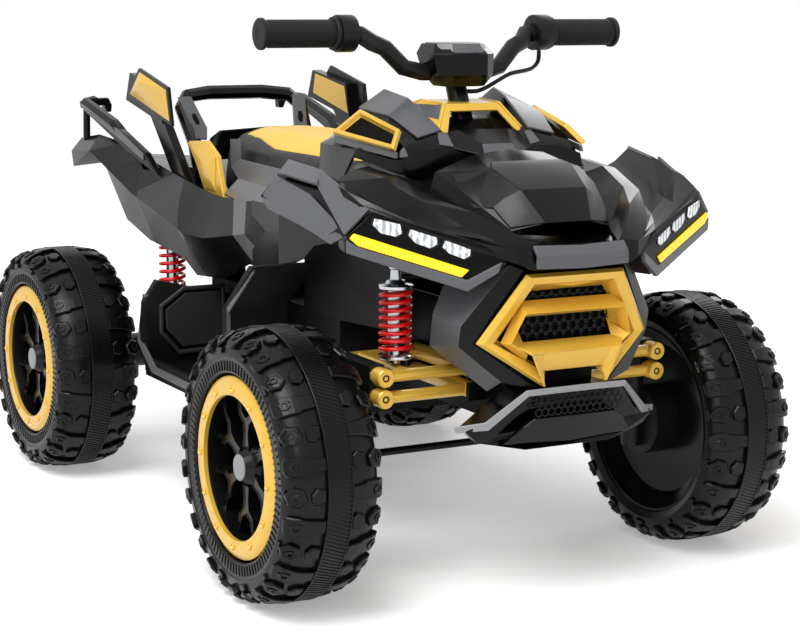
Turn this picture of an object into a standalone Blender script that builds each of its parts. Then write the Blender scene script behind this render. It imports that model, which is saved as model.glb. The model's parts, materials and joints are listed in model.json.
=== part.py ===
"""A battery-powered ride-on quad for a child, as an assembly of separate named pieces.

Metres, +Z up, the front of the vehicle towards -Y. The origin is on the ground under the middle.
"""

import math

import bmesh
import bpy
from mathutils import Matrix, Vector
from mathutils.bvhtree import BVHTree

# Overall sizes
HALF_LENGTH = 0.567          # from the middle to the front lip, and to the rear fender tips
WHEEL_R = 0.165              # a 330 mm tyre
WHEELBASE = 0.740
TYRE_MID = 0.296             # from the centre plane to the middle of each tyre
TYRE_W = 0.126
GAP = 0.0003                 # between pieces that touch
WALL = 0.003                 # moulded panels

# Wheels
BEAD_R = 0.110               # where the tyre sits on its rim
RING_IN_R = 0.086            # inner edge of the gold ring
HUB_R = 0.030
AXLE_R = 0.008
AXLE_CLEAR = 0.0004
LUG_DEPTH = 0.006

# Front suspension
ARM_IN_X = 0.075
ARM_OUT_X = 0.195
ARM_FRONT_Y = 0.082          # the front boss, ahead of the axle
ARM_REAR_Y = 0.060           # the rear end, behind the axle
ARM_UP_Z = 0.273
ARM_LOW_Z = 0.2477
ARM_TUBE_R = 0.0075
BOSS_R = 0.0105
KINGPIN_X = 0.219
STEER_PIN_R = 0.006

# Dampers
DAMPER_X = 0.160
DAMPER_AHEAD = 0.040         # front damper, ahead of the front axle
REAR_DAMPER_X = 0.150
REAR_DAMPER_AHEAD = 0.075    # rear damper, ahead of the rear axle
FRONT_TOP_Z = 0.400
REAR_TOP_Z = 0.362
REAR_EYE_Z = 0.232
TUBE_R = 0.0085
ROD_R = 0.0045
PERCH_R = 0.0175
PERCH_T = 0.004
SPRING_R = 0.0145
WIRE_R = 0.0025
SPRING_TURNS = 8
REAR_TURNS = 7
TURN_POINTS = 8

# Handlebar
COLUMN_TOP = (0.0, -0.290, 0.560)
COLUMN_FOOT = (0.0, -0.390, 0.330)
BAR_R = 0.011
BAR_CLEAR = 0.0008           # between the bar and what is pushed over it
GRIP_R = 0.0165
GRIP_END_X = 0.260
GRIP_LENGTH = 0.105
GRIP_Y = -0.242
GRIP_Z = 0.6645
POD_R = 0.023
POD_W = 0.022

FRONT_Y = -WHEELBASE / 2
REAR_Y = WHEELBASE / 2
DAMPER_Y = FRONT_Y - DAMPER_AHEAD
REAR_DAMPER_Y = REAR_Y - REAR_DAMPER_AHEAD

for old in list(bpy.data.objects):
    bpy.data.objects.remove(old, do_unlink=True)


def material(name, colour, roughness, metallic=0.0):
    mat = bpy.data.materials.new(name)
    mat.use_nodes = True
    shader = mat.node_tree.nodes["Principled BSDF"]
    shader.inputs["Base Color"].default_value = (*colour, 1.0)
    shader.inputs["Roughness"].default_value = roughness
    shader.inputs["Metallic"].default_value = metallic
    return mat


BLACK = (0.012, 0.012, 0.013)
GREY = (0.10, 0.10, 0.105)
GOLD = (0.72, 0.43, 0.05)
RED = (0.62, 0.01, 0.01)
STEEL = (0.55, 0.56, 0.58)
FINISH = {
    "gloss_black": (BLACK, 0.30, 0.0),
    "frame_black": (BLACK, 0.55, 0.0),
    "gold": (GOLD, 0.35, 0.3),
    "rubber": (BLACK, 0.75, 0.0),
    "seat": (BLACK, 0.60, 0.0),
    "spring_red": (RED, 0.35, 0.0),
    "steel": (STEEL, 0.30, 0.9),
    "grey": (GREY, 0.40, 0.0),
}


def finish_of(node, kind):
    colour, roughness, metallic = FINISH[kind]
    return material(f"{node}_{kind}", colour, roughness, metallic)


def add(node, bm, kind, origin=(0.0, 0.0, 0.0), smooth=False):
    """Make an object from world-space geometry, with its origin at the given point."""
    bmesh.ops.recalc_face_normals(bm, faces=bm.faces)
    if bm.calc_volume(signed=True) < 0:
        bmesh.ops.reverse_faces(bm, faces=bm.faces)
    bm.transform(Matrix.Translation(-Vector(origin)))
    mesh = bpy.data.meshes.new(node)
    bm.to_mesh(mesh)
    bm.free()
    obj = bpy.data.objects.new(node, mesh)
    obj.location = origin
    bpy.context.collection.objects.link(obj)
    if kind:
        mesh.materials.append(finish_of(node, kind))
    if smooth:
        mesh.shade_smooth()
        mesh.set_sharp_from_angle(angle=math.radians(35))
    return obj


def helper(bm, label="shape"):
    """A hidden solid that a Boolean joins to a piece or cuts from it."""
    obj = add(label, bm, None)
    obj.hide_render = True
    obj.display_type = "WIRE"
    return obj


def combine(obj, others, operation):
    for other in others:
        mod = obj.modifiers.new(operation.lower(), "BOOLEAN")
        mod.operation = operation
        mod.solver = "EXACT"
        mod.object = other
    return obj


def union(obj, *others):
    return combine(obj, others, "UNION")


def cut(obj, *others):
    return combine(obj, others, "DIFFERENCE")


def box_bm(low, high):
    bm = bmesh.new()
    bmesh.ops.create_cube(bm, size=1.0)
    size = Vector(high) - Vector(low)
    bmesh.ops.scale(bm, vec=size, verts=bm.verts)
    bmesh.ops.translate(bm, vec=(Vector(high) + Vector(low)) / 2, verts=bm.verts)
    return bm


def rod_bm(start, end, radius, sides=16, end_radius=None):
    """A round bar from start to end, tapered when end_radius is given."""
    start = Vector(start)
    end = Vector(end)
    way = end - start
    bm = bmesh.new()
    bmesh.ops.create_cone(
        bm,
        cap_ends=True,
        segments=sides,
        radius1=radius,
        radius2=radius if end_radius is None else end_radius,
        depth=way.length,
    )
    turn = way.to_track_quat("Z", "Y").to_matrix().to_4x4()
    bm.transform(Matrix.Translation((start + end) / 2) @ turn)
    return bm


def tube_bm(points, radius, sides=12):
    """A round tube of one skin with closed ends along a list of points."""
    points = [Vector(p) for p in points]
    bm = bmesh.new()
    rings = []
    normal = None
    for i, point in enumerate(points):
        before = points[max(i - 1, 0)]
        after = points[min(i + 1, len(points) - 1)]
        way = (after - before).normalized()
        if normal is None:
            guide = Vector((0, 0, 1)) if abs(way.z) < 0.9 else Vector((1, 0, 0))
            normal = way.cross(guide).normalized()
        normal = (normal - way * normal.dot(way)).normalized()
        side = way.cross(normal)
        ring = []
        for step in range(sides):
            angle = 2 * math.pi * step / sides
            offset = normal * math.cos(angle) + side * math.sin(angle)
            ring.append(bm.verts.new(point + offset * radius))
        rings.append(ring)
    for low, high in zip(rings, rings[1:]):
        for step in range(sides):
            nxt = (step + 1) % sides
            bm.faces.new((low[step], low[nxt], high[nxt], high[step]))
    bm.faces.new(rings[0])
    bm.faces.new(rings[-1])
    return bm


def prism_bm(outline, axis, low, high):
    """A flat outline pushed out along one axis. The outline gives the other two axes in XYZ order."""
    bm = bmesh.new()
    ends = []
    for level in (low, high):
        ring = []
        for first, second in outline:
            place = [first, second]
            place.insert(axis, level)
            ring.append(bm.verts.new(place))
        ends.append(ring)
    bm.faces.new(ends[0])
    bm.faces.new(ends[1])
    count = len(outline)
    for i in range(count):
        nxt = (i + 1) % count
        bm.faces.new((ends[0][i], ends[0][nxt], ends[1][nxt], ends[1][i]))
    return bm


def turned_bm(profile, steps, centre, closed_ring=False):
    """Turn (x, radius) points about the X axis through centre.

    A closed ring profile joins its last point to its first. An open one is capped at both ends.
    """
    bm = bmesh.new()
    rings = []
    for step in range(steps):
        angle = 2 * math.pi * (step + 0.5) / steps
        points = profile(step) if callable(profile) else profile
        ring = []
        for x, radius in points:
            ring.append(bm.verts.new((
                centre[0] + x,
                centre[1] + radius * math.sin(angle),
                centre[2] + radius * math.cos(angle),
            )))
        rings.append(ring)
    count = len(rings[0])
    last = count if closed_ring else count - 1
    for i, ring in enumerate(rings):
        nxt = rings[(i + 1) % steps]
        for k in range(last):
            j = (k + 1) % count
            bm.faces.new((ring[k], ring[j], nxt[j], nxt[k]))
    if not closed_ring:
        bm.faces.new([ring[0] for ring in rings])
        bm.faces.new([ring[-1] for ring in rings])
    return bm


def sheet_bm(rows, mirrored=True):
    """A faceted sheet through rows of points. With mirrored, the other half is added across X."""
    bm = bmesh.new()
    sides = (1, -1) if mirrored else (1,)
    for sign in sides:
        grid = [[bm.verts.new((sign * x, y, z)) for x, y, z in row] for row in rows]
        for upper, lower in zip(grid, grid[1:]):
            for i in range(len(upper) - 1):
                bm.faces.new((upper[i], upper[i + 1], lower[i + 1], lower[i]))
    bmesh.ops.remove_doubles(bm, verts=bm.verts, dist=0.00005)
    bmesh.ops.triangulate(bm, faces=bm.faces, quad_method="FIXED")
    bmesh.ops.recalc_face_normals(bm, faces=bm.faces)
    return bm


def shell(node, rows, kind, wall=WALL, mirrored=True, flip=False):
    """A moulded panel: a faceted sheet given its wall on the inside."""
    bm = sheet_bm(rows, mirrored)
    up = sum((f.normal.z * f.calc_area() for f in bm.faces), 0.0)
    if (up < 0) != flip:
        bmesh.ops.reverse_faces(bm, faces=bm.faces)
    mesh = bpy.data.meshes.new(node)
    bm.to_mesh(mesh)
    bm.free()
    obj = bpy.data.objects.new(node, mesh)
    bpy.context.collection.objects.link(obj)
    mesh.materials.append(finish_of(node, kind))
    mod = obj.modifiers.new("wall", "SOLIDIFY")
    mod.thickness = wall
    mod.offset = -1.0
    mod.use_even_offset = True
    return obj


def block_bm(top, bottom):
    """A closed block between two outlines with the same number of points, for instance a wedge."""
    bm = bmesh.new()
    upper = [bm.verts.new(p) for p in top]
    lower = [bm.verts.new(p) for p in bottom]
    bm.faces.new(upper)
    bm.faces.new(lower)
    count = len(top)
    for i in range(count):
        nxt = (i + 1) % count
        bm.faces.new((upper[i], upper[nxt], lower[nxt], lower[i]))
    return bm


def sided(name, sign):
    """The driver's right is -X."""
    return f"{name}_{'left' if sign > 0 else 'right'}"


def flip_x(points, sign):
    return [(sign * x, y, z) for x, y, z in points]


# Chassis: a moulded tub with the footboards, the pivots for the arms and the damper towers
TUB_X = 0.125
TUB_FRONT_Y = -0.200
TUB_REAR_Y = 0.200
TUB_FLOOR_Z = 0.170
TUB_TOP_Z = 0.300
TUB_WALL = 0.004
NOSE_X = 0.062
NOSE_FRONT_Y = -0.500
NOSE_LOW_Z = 0.215
NOSE_TOP_Z = 0.345
FOOT_X = 0.250
FOOT_T = 0.012
FOOT_FRONT_Y = -0.045
FOOT_REAR_Y = 0.172
FOOT_LIP = 0.010
FOOT_LIP_H = 0.014
GUARD_TOP_Z = 0.305
GUARD_T = 0.014
GUARD_FALL = 0.026
MUD_OUT_X = 0.215
MUD_T = 0.012
MUD_FACE = [(FOOT_FRONT_Y, TUB_FLOOR_Z + 0.002), (FOOT_FRONT_Y, 0.294), (-0.128, 0.362)]
LINER_T = 0.006
LINER = [(-0.100, 0.297), (-0.100, 0.392), (-0.160, 0.398), (-0.180, 0.438), (-0.345, 0.440),
         (-0.345, 0.306), (-0.197, 0.297)]
EAR_T = 0.006
EAR_R = 0.011
PIN_R = 0.005
PIN_CLEAR = 0.0004
TOWER_T = 0.010
TOWER_HALF = 0.012
ARM_FRONT_END = FRONT_Y - ARM_FRONT_Y
ARM_REAR_END = FRONT_Y + ARM_REAR_Y
SWING_Y = 0.235
SWING_Z = 0.215
SWING_PIN_R = 0.006
SWING_HALF = 0.080

chassis = add("chassis_tub", box_bm(
    (-TUB_X, TUB_FRONT_Y, TUB_FLOOR_Z), (TUB_X, TUB_REAR_Y, TUB_TOP_Z)), "frame_black")
union(chassis, helper(box_bm(
    (-NOSE_X, NOSE_FRONT_Y, NOSE_LOW_Z), (NOSE_X, TUB_FRONT_Y + 0.01, NOSE_TOP_Z))))
cut(chassis, helper(box_bm(
    (-TUB_X + TUB_WALL, TUB_FRONT_Y + TUB_WALL, TUB_FLOOR_Z + TUB_WALL),
    (TUB_X - TUB_WALL, TUB_REAR_Y - TUB_WALL, TUB_TOP_Z + TUB_WALL))))
cut(chassis, helper(box_bm(
    (-NOSE_X + TUB_WALL, NOSE_FRONT_Y + TUB_WALL, NOSE_LOW_Z + TUB_WALL),
    (NOSE_X - TUB_WALL, TUB_FRONT_Y - 0.01, NOSE_TOP_Z + TUB_WALL))))
for sign in (1, -1):
    inner = TUB_X - TUB_WALL / 2
    floor = [(inner, FOOT_FRONT_Y), (FOOT_X - 0.03, FOOT_FRONT_Y), (FOOT_X, FOOT_FRONT_Y + 0.03),
             (FOOT_X, FOOT_REAR_Y - 0.015), (FOOT_X - 0.013, FOOT_REAR_Y - 0.002),
             (inner, FOOT_REAR_Y - 0.002)]
    floor = [(sign * x, y) for x, y in floor]
    foot = helper(prism_bm(floor, 2, TUB_FLOOR_Z + 0.001, TUB_FLOOR_Z + FOOT_T))
    lip = helper(box_bm(
        (min(sign * (FOOT_X - FOOT_LIP), sign * (FOOT_X - 0.001)), FOOT_FRONT_Y + 0.031,
         TUB_FLOOR_Z + FOOT_T / 2),
        (max(sign * (FOOT_X - FOOT_LIP), sign * (FOOT_X - 0.001)), FOOT_REAR_Y - 0.010,
         TUB_FLOOR_Z + FOOT_T + FOOT_LIP_H)))
    guard = [(inner, TUB_FLOOR_Z + FOOT_T / 2), (FOOT_X - 0.008, TUB_FLOOR_Z + FOOT_T / 2),
             (FOOT_X + 0.004, TUB_FLOOR_Z + 0.05), (FOOT_X, GUARD_TOP_Z - 0.03),
             (FOOT_X - 0.02, GUARD_TOP_Z), (inner, GUARD_TOP_Z - GUARD_FALL)]
    guard = helper(prism_bm(
        [(sign * x, z) for x, z in guard], 1, FOOT_REAR_Y - GUARD_T, FOOT_REAR_Y))
    back = [(y + MUD_T, z) for y, z in reversed(MUD_FACE)]
    xs = sorted((sign * (inner - 0.0005), sign * MUD_OUT_X))
    mud = helper(prism_bm(MUD_FACE + back, 0, *xs))
    xs = sorted((sign * (TUB_X - TUB_WALL - 0.0005), sign * (TUB_X - TUB_WALL - 0.0005 + LINER_T)))
    liner = helper(prism_bm(LINER, 0, *xs))
    union(chassis, foot, lip, guard, mud, liner)
    for arm_z in (ARM_UP_Z, ARM_LOW_Z):
        for end in (ARM_FRONT_END - EAR_T - GAP, ARM_REAR_END + GAP):
            ear = helper(box_bm(
                (min(sign * (NOSE_X - 0.002), sign * (ARM_IN_X + EAR_R)), end, arm_z - EAR_R),
                (max(sign * (NOSE_X - 0.002), sign * (ARM_IN_X + EAR_R)), end + EAR_T, arm_z + EAR_R)))
            union(chassis, ear)
        union(chassis, helper(rod_bm(
            (sign * ARM_IN_X, ARM_FRONT_END - EAR_T, arm_z),
            (sign * ARM_IN_X, ARM_REAR_END + EAR_T, arm_z), PIN_R, 10)))
    leg = helper(box_bm(
        (min(sign * (NOSE_X - TUB_WALL + 0.0005), sign * (NOSE_X + 0.004)),
         DAMPER_Y - TOWER_HALF, NOSE_TOP_Z - 0.03),
        (max(sign * (NOSE_X - TUB_WALL + 0.0005), sign * (NOSE_X + 0.004)), DAMPER_Y + TOWER_HALF,
         FRONT_TOP_Z + TOWER_T / 2)))
    union(chassis, leg)
    rear_tower = helper(box_bm(
        (min(sign * (TUB_X - 0.06), sign * (REAR_DAMPER_X + 0.014)), TUB_REAR_Y - 0.006, REAR_TOP_Z + GAP),
        (max(sign * (TUB_X - 0.06), sign * (REAR_DAMPER_X + 0.014)), REAR_DAMPER_Y + 0.014,
         REAR_TOP_Z + TOWER_T)))
    rear_leg = helper(box_bm(
        (min(sign * (TUB_X - 0.05), sign * TUB_X), TUB_REAR_Y - 0.004, TUB_FLOOR_Z + 0.06),
        (max(sign * (TUB_X - 0.05), sign * TUB_X), TUB_REAR_Y + 0.006, REAR_TOP_Z + TOWER_T / 2)))
    swing_ear = helper(box_bm(
        (min(sign * (SWING_HALF + GAP), sign * (SWING_HALF + 0.012)), TUB_REAR_Y - 0.002, SWING_Z - 0.012),
        (max(sign * (SWING_HALF + GAP), sign * (SWING_HALF + 0.012)), SWING_Y + 0.012, SWING_Z + 0.012)))
    union(chassis, rear_tower, rear_leg, swing_ear)
union(chassis, helper(box_bm(
    (-DAMPER_X - 0.014, DAMPER_Y - TOWER_HALF - 0.001, FRONT_TOP_Z + GAP),
    (DAMPER_X + 0.014, DAMPER_Y + TOWER_HALF + 0.001, FRONT_TOP_Z + TOWER_T))))
union(chassis, helper(rod_bm(
    (-SWING_HALF - 0.006, SWING_Y, SWING_Z), (SWING_HALF + 0.006, SWING_Y, SWING_Z), SWING_PIN_R, 12)))

# Battery, standing on the tub's floor
BATTERY = (0.075, 0.150, 0.095)
BATTERY_Y = 0.060
add("battery", box_bm(
    (-BATTERY[0], BATTERY_Y - BATTERY[1] / 2, TUB_FLOOR_Z + TUB_WALL + GAP),
    (BATTERY[0], BATTERY_Y + BATTERY[1] / 2, TUB_FLOOR_Z + TUB_WALL + GAP + BATTERY[2])), "grey")

# Front arms, carriers and knuckles
CARRIER_X = 0.010
BOSS_LENGTH = 0.022
GEARBOX_R = 0.045
BACK_PLATE = 0.033           # inboard face of the wheel's back plate, from the tyre's middle
AXLE_END = 0.030


def arm(node, sign, arm_z, damper_bar):
    x_in = sign * ARM_IN_X
    x_out = sign * ARM_OUT_X
    body = add(node, rod_bm((x_in, ARM_FRONT_END, arm_z), (x_in, ARM_REAR_END, arm_z), BOSS_R, 10),
               "gold", (x_in, FRONT_Y, arm_z), smooth=True)
    for end, way in ((ARM_FRONT_END, 1), (ARM_REAR_END, -1)):
        middle = end + way * BOSS_LENGTH / 2
        union(body, helper(rod_bm((x_out, end, arm_z), (x_out, end + way * BOSS_LENGTH, arm_z), BOSS_R, 10)),
              helper(rod_bm((x_in, middle, arm_z), (x_out, middle, arm_z), ARM_TUBE_R, 10)))
    union(body, helper(rod_bm((x_out, ARM_FRONT_END + 0.004, arm_z), (x_out, ARM_REAR_END - 0.004, arm_z),
                              PIN_R, 10)))
    if damper_bar:
        union(body, helper(rod_bm((sign * DAMPER_X, ARM_FRONT_END + BOSS_LENGTH / 2, arm_z),
                                  (sign * DAMPER_X, ARM_REAR_END - BOSS_LENGTH / 2, arm_z), ARM_TUBE_R, 10)))
    return cut(body, helper(rod_bm((x_in, ARM_FRONT_END - 0.01, arm_z), (x_in, ARM_REAR_END + 0.01, arm_z),
                                   PIN_R + PIN_CLEAR, 10)))


CARRIER_FRONT = ARM_FRONT_END + BOSS_LENGTH + GAP
CARRIER_REAR = ARM_REAR_END - BOSS_LENGTH - GAP
for sign in (1, -1):
    arm(sided("upper_arm", sign), sign, ARM_UP_Z, True)
    arm(sided("lower_arm", sign), sign, ARM_LOW_Z, False)

    # Carrier: a block on the two arm pins, with the kingpin hanging below its outer end
    xs = sorted((sign * (ARM_OUT_X - CARRIER_X), sign * (ARM_OUT_X + CARRIER_X)))
    carrier = add(sided("steering_carrier", sign), box_bm(
        (xs[0], CARRIER_FRONT, ARM_LOW_Z - 0.012), (xs[1], CARRIER_REAR, ARM_UP_Z + 0.012)), "frame_black",
        (sign * ARM_OUT_X, FRONT_Y, ARM_LOW_Z))
    cheek = sorted((sign * (ARM_OUT_X + CARRIER_X - 0.002), sign * (KINGPIN_X + 0.011)))
    union(carrier, helper(box_bm(
        (cheek[0], FRONT_Y - 0.014, ARM_LOW_Z + 0.004), (cheek[1], FRONT_Y + 0.014, ARM_UP_Z))))
    union(carrier, helper(rod_bm((sign * KINGPIN_X, FRONT_Y, ARM_LOW_Z + 0.008),
                                 (sign * KINGPIN_X, FRONT_Y, WHEEL_R - 0.030), STEER_PIN_R, 12)))
    for arm_z in (ARM_UP_Z, ARM_LOW_Z):
        cut(carrier, helper(rod_bm((sign * ARM_OUT_X, CARRIER_FRONT - 0.01, arm_z),
                                   (sign * ARM_OUT_X, CARRIER_REAR + 0.01, arm_z), PIN_R + PIN_CLEAR, 12)))

    # Knuckle: turns on the kingpin and carries the stub axle, the gearbox cover and the steering arm
    knuckle = add(sided("steering_knuckle", sign), rod_bm(
        (sign * KINGPIN_X, FRONT_Y, WHEEL_R - 0.032), (sign * KINGPIN_X, FRONT_Y, ARM_LOW_Z + 0.004 - GAP),
        0.0135, 16), "frame_black", (sign * KINGPIN_X, FRONT_Y, WHEEL_R), smooth=True)
    union(knuckle, helper(rod_bm((sign * (KINGPIN_X + 0.008), FRONT_Y, WHEEL_R),
                                 (sign * (TYRE_MID - BACK_PLATE - GAP), FRONT_Y, WHEEL_R), GEARBOX_R, 24)))
    union(knuckle, helper(rod_bm((sign * (KINGPIN_X + 0.010), FRONT_Y, WHEEL_R),
                                 (sign * (TYRE_MID + AXLE_END), FRONT_Y, WHEEL_R), AXLE_R, 16)))
    union(knuckle, helper(box_bm(
        (min(sign * (KINGPIN_X - 0.028), sign * KINGPIN_X), FRONT_Y, WHEEL_R - 0.012),
        (max(sign * (KINGPIN_X - 0.028), sign * KINGPIN_X), FRONT_Y + 0.060, WHEEL_R - 0.004))))
    cut(knuckle, helper(rod_bm((sign * KINGPIN_X, FRONT_Y, WHEEL_R - 0.04),
                               (sign * KINGPIN_X, FRONT_Y, ARM_LOW_Z + 0.02), STEER_PIN_R + PIN_CLEAR, 12)))

# Tie rod: joins the two knuckle arms across the vehicle
TIE_Y = FRONT_Y + 0.052
TIE_R = 0.005
TIE_Z = WHEEL_R - 0.012 - GAP - TIE_R
TIE_END_X = KINGPIN_X - 0.020
add("tie_rod", rod_bm((-TIE_END_X, TIE_Y, TIE_Z), (TIE_END_X, TIE_Y, TIE_Z), TIE_R, 12), "steel",
    (0, TIE_Y, TIE_Z), smooth=True)

# Dampers and their coil springs


def spring(node, x, y, low, high, turns):
    """One unbroken helix, whose ends run straight down onto the perches."""
    end = 2 * WIRE_R
    rise = high - low - 2 * (end + WIRE_R)
    points = []
    count = turns * TURN_POINTS
    for i in range(count + 1):
        angle = 2 * math.pi * i / TURN_POINTS
        points.append((x + SPRING_R * math.cos(angle), y + SPRING_R * math.sin(angle),
                       low + end + WIRE_R + rise * i / count))
    first = points[0]
    last = points[-1]
    points.insert(0, (first[0], first[1], low))
    points.append((last[0], last[1], high))
    curve = bpy.data.curves.new(node, "CURVE")
    curve.dimensions = "3D"
    curve.bevel_depth = WIRE_R
    curve.bevel_resolution = 1
    curve.use_fill_caps = True
    spline = curve.splines.new("POLY")
    spline.points.add(len(points) - 1)
    for spot, place in zip(spline.points, points):
        spot.co = (*place, 1.0)
    obj = bpy.data.objects.new(node, curve)
    bpy.context.collection.objects.link(obj)
    curve.materials.append(finish_of(node, "spring_red"))
    print(node, "least gap between turns, mm:", round(1000 * (rise / turns - 2 * WIRE_R), 2))
    return obj


def damper(end_name, sign, x, y, eye_z, top_z, perch_low, perch_high, turns):
    x = sign * x
    tube = add(sided(f"{end_name}_damper_tube", sign), rod_bm(
        (x, y, perch_low + PERCH_T + 0.018), (x, y, top_z), TUBE_R, 12), "steel", (x, y, top_z), smooth=True)
    union(tube, helper(rod_bm((x, y, perch_high), (x, y, perch_high + PERCH_T), PERCH_R, 16)))
    cut(tube, helper(rod_bm((x, y, perch_low), (x, y, perch_high - 0.004), ROD_R + 0.0015, 12)))
    rod = add(sided(f"{end_name}_damper_rod", sign), rod_bm(
        (x, y, eye_z + GAP), (x, y, perch_low + 0.002), 0.0065, 12), "steel", (x, y, eye_z), smooth=True)
    union(rod, helper(rod_bm((x, y, perch_low), (x, y, perch_low + PERCH_T), PERCH_R, 16)),
          helper(rod_bm((x, y, perch_low), (x, y, perch_high - 0.022), ROD_R, 12)))
    spring(sided(f"{end_name}_spring", sign), x, y, perch_low + PERCH_T + GAP, perch_high - GAP, turns)


FRONT_PERCH_LOW = 0.288
FRONT_PERCH_HIGH = 0.372
REAR_PERCH_LOW = 0.246
REAR_PERCH_HIGH = 0.340
for sign in (1, -1):
    damper("front", sign, DAMPER_X, DAMPER_Y, ARM_UP_Z + ARM_TUBE_R, FRONT_TOP_Z, FRONT_PERCH_LOW,
           FRONT_PERCH_HIGH, SPRING_TURNS)
    damper("rear", sign, REAR_DAMPER_X, REAR_DAMPER_Y, REAR_EYE_Z, REAR_TOP_Z, REAR_PERCH_LOW,
           REAR_PERCH_HIGH, REAR_TURNS)

# Rear swingarm: a pivot tube, two beams and the fixed axle that carries both rear wheels
BEAM_X = 0.135
swingarm = add("rear_swingarm", rod_bm((-SWING_HALF, SWING_Y, SWING_Z), (SWING_HALF, SWING_Y, SWING_Z),
                                       0.012, 16), "frame_black", (0, SWING_Y, SWING_Z))
union(swingarm, helper(box_bm((-0.050, SWING_Y + 0.002, SWING_Z - 0.010),
                              (0.050, REAR_Y - 0.005, SWING_Z + 0.002))))
DAMPER_BAR_R = 0.009             # a round bar, so that the rods roll on it as the arm swings
union(swingarm, helper(box_bm((-BEAM_X - 0.030, REAR_DAMPER_Y - 0.012, SWING_Z - 0.009),
                              (BEAM_X + 0.030, REAR_DAMPER_Y + 0.012, SWING_Z + 0.004))))
union(swingarm, helper(rod_bm((-BEAM_X - 0.030, REAR_DAMPER_Y, REAR_EYE_Z - DAMPER_BAR_R),
                              (BEAM_X + 0.030, REAR_DAMPER_Y, REAR_EYE_Z - DAMPER_BAR_R), DAMPER_BAR_R, 16)))
union(swingarm, helper(box_bm((-0.050, REAR_Y - 0.025, WHEEL_R - 0.025), (0.050, REAR_Y + 0.025, SWING_Z))))
union(swingarm, helper(rod_bm((-TYRE_MID - AXLE_END, REAR_Y, WHEEL_R), (TYRE_MID + AXLE_END, REAR_Y, WHEEL_R),
                              AXLE_R, 16)))
cut(swingarm, helper(rod_bm((-0.2, SWING_Y, SWING_Z), (0.2, SWING_Y, SWING_Z), SWING_PIN_R + PIN_CLEAR, 12)))

# Rear gearboxes: each hangs on the axle, inboard of its wheel, and drives it
for sign in (1, -1):
    inner_x = 0.052
    outer_x = TYRE_MID - BACK_PLATE - GAP
    box = add(sided("rear_gearbox", sign), rod_bm(
        (sign * (outer_x - 0.038), REAR_Y, WHEEL_R), (sign * outer_x, REAR_Y, WHEEL_R),
        GEARBOX_R, 24), "grey",
        (sign * outer_x, REAR_Y, WHEEL_R), smooth=True)
    union(box, helper(rod_bm((sign * inner_x, REAR_Y, WHEEL_R), (sign * (outer_x - 0.030), REAR_Y, WHEEL_R),
                             0.026, 16)))
    cut(box, helper(rod_bm((0, REAR_Y, WHEEL_R), (sign * 0.4, REAR_Y, WHEEL_R), AXLE_R + PIN_CLEAR, 16)))

# Wheels: a blow-moulded tyre on a plastic rim with a back plate, five split spokes and a gold ring
WHEEL_STEPS = 24
RIM_OUT = 0.052
RING_T = 0.006
HUB_OUT = 0.0505
DISH_R = 0.122               # lip of the dish on the inboard side
DISH_X = 0.0535
BARREL_END = 0.030
SPOKES = 10
SPOKE_W = 0.009


def tyre_profile(sign):
    """Outboard bead to inboard bead. Every other pair of steps is a gap between two lugs."""
    flat = 1 / math.cos(math.pi / WHEEL_STEPS)

    def at(step):
        lug = LUG_DEPTH if step % 4 > 1 else 0.0
        half = TYRE_W / 2
        crown = WHEEL_R * flat
        points = [
            (0.050, BEAD_R + GAP),
            (half - 0.0055, BEAD_R + 0.006),
            (half - 0.0045, 0.134),
            (half - lug, 0.149),
            (half - 0.017, 0.1600 - lug),
            (0.016, crown),
            (-0.016, crown),
            (0.017 - half, 0.1600 - lug),
            (lug - half, 0.149),
            (0.0045 - half, 0.134),
            (-DISH_X - 0.002, DISH_R + 0.0015),
            (-BARREL_END, BEAD_R + GAP),
        ]
        return [(sign * x, radius) for x, radius in points]

    return at


for end_name, wheel_y in (("front", FRONT_Y), ("rear", REAR_Y)):
    for sign in (1, -1):
        centre = (sign * TYRE_MID, wheel_y, WHEEL_R)
        bore = AXLE_R + AXLE_CLEAR
        add(sided(f"{end_name}_tyre", sign), turned_bm(tyre_profile(sign), WHEEL_STEPS, centre, True),
            "rubber", centre, smooth=True)
        rim = [(HUB_OUT, bore), (HUB_OUT, HUB_R - 0.008), (0.034, HUB_R), (0.005 - BACK_PLATE, HUB_R),
               (0.003 - BACK_PLATE, RING_IN_R + 0.002), (RIM_OUT, RING_IN_R + 0.002), (RIM_OUT, BEAD_R),
               (-BARREL_END, BEAD_R), (-DISH_X, DISH_R), (-DISH_X, DISH_R - 0.003),
               (-BACK_PLATE, BEAD_R - 0.010), (-BACK_PLATE, bore)]
        wheel = add(sided(f"{end_name}_wheel", sign), turned_bm(
            [(sign * x, radius) for x, radius in rim], WHEEL_STEPS, centre, True), "gloss_black", centre,
            smooth=True)
        for i in range(SPOKES):
            angle = 2 * math.pi * (i // 2) / (SPOKES / 2) + (0.20 if i % 2 else -0.20)
            lean = 0.12 if i % 2 else -0.12
            spoke = box_bm((-0.005, -SPOKE_W / 2, HUB_R - 0.004), (0.005, SPOKE_W / 2, RING_IN_R + 0.008))
            spoke.transform(Matrix.Translation(Vector(centre) + Vector((sign * 0.036, 0, 0)))
                            @ Matrix.Rotation(angle, 4, "X") @ Matrix.Rotation(lean, 4, "X"))
            union(wheel, helper(spoke))
        ring = [(RIM_OUT + GAP, RING_IN_R), (RIM_OUT + RING_T, RING_IN_R + 0.002),
                (RIM_OUT + RING_T, BEAD_R - 0.003), (RIM_OUT + GAP, BEAD_R - 0.0005)]
        add(sided(f"{end_name}_bead_ring", sign), turned_bm(
            [(sign * x, radius) for x, radius in ring], WHEEL_STEPS, centre, True),
            "gold", centre, smooth=True)

# Body panels
FIT = 0.0004                 # gap that a panel leaves to what it rests on


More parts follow.
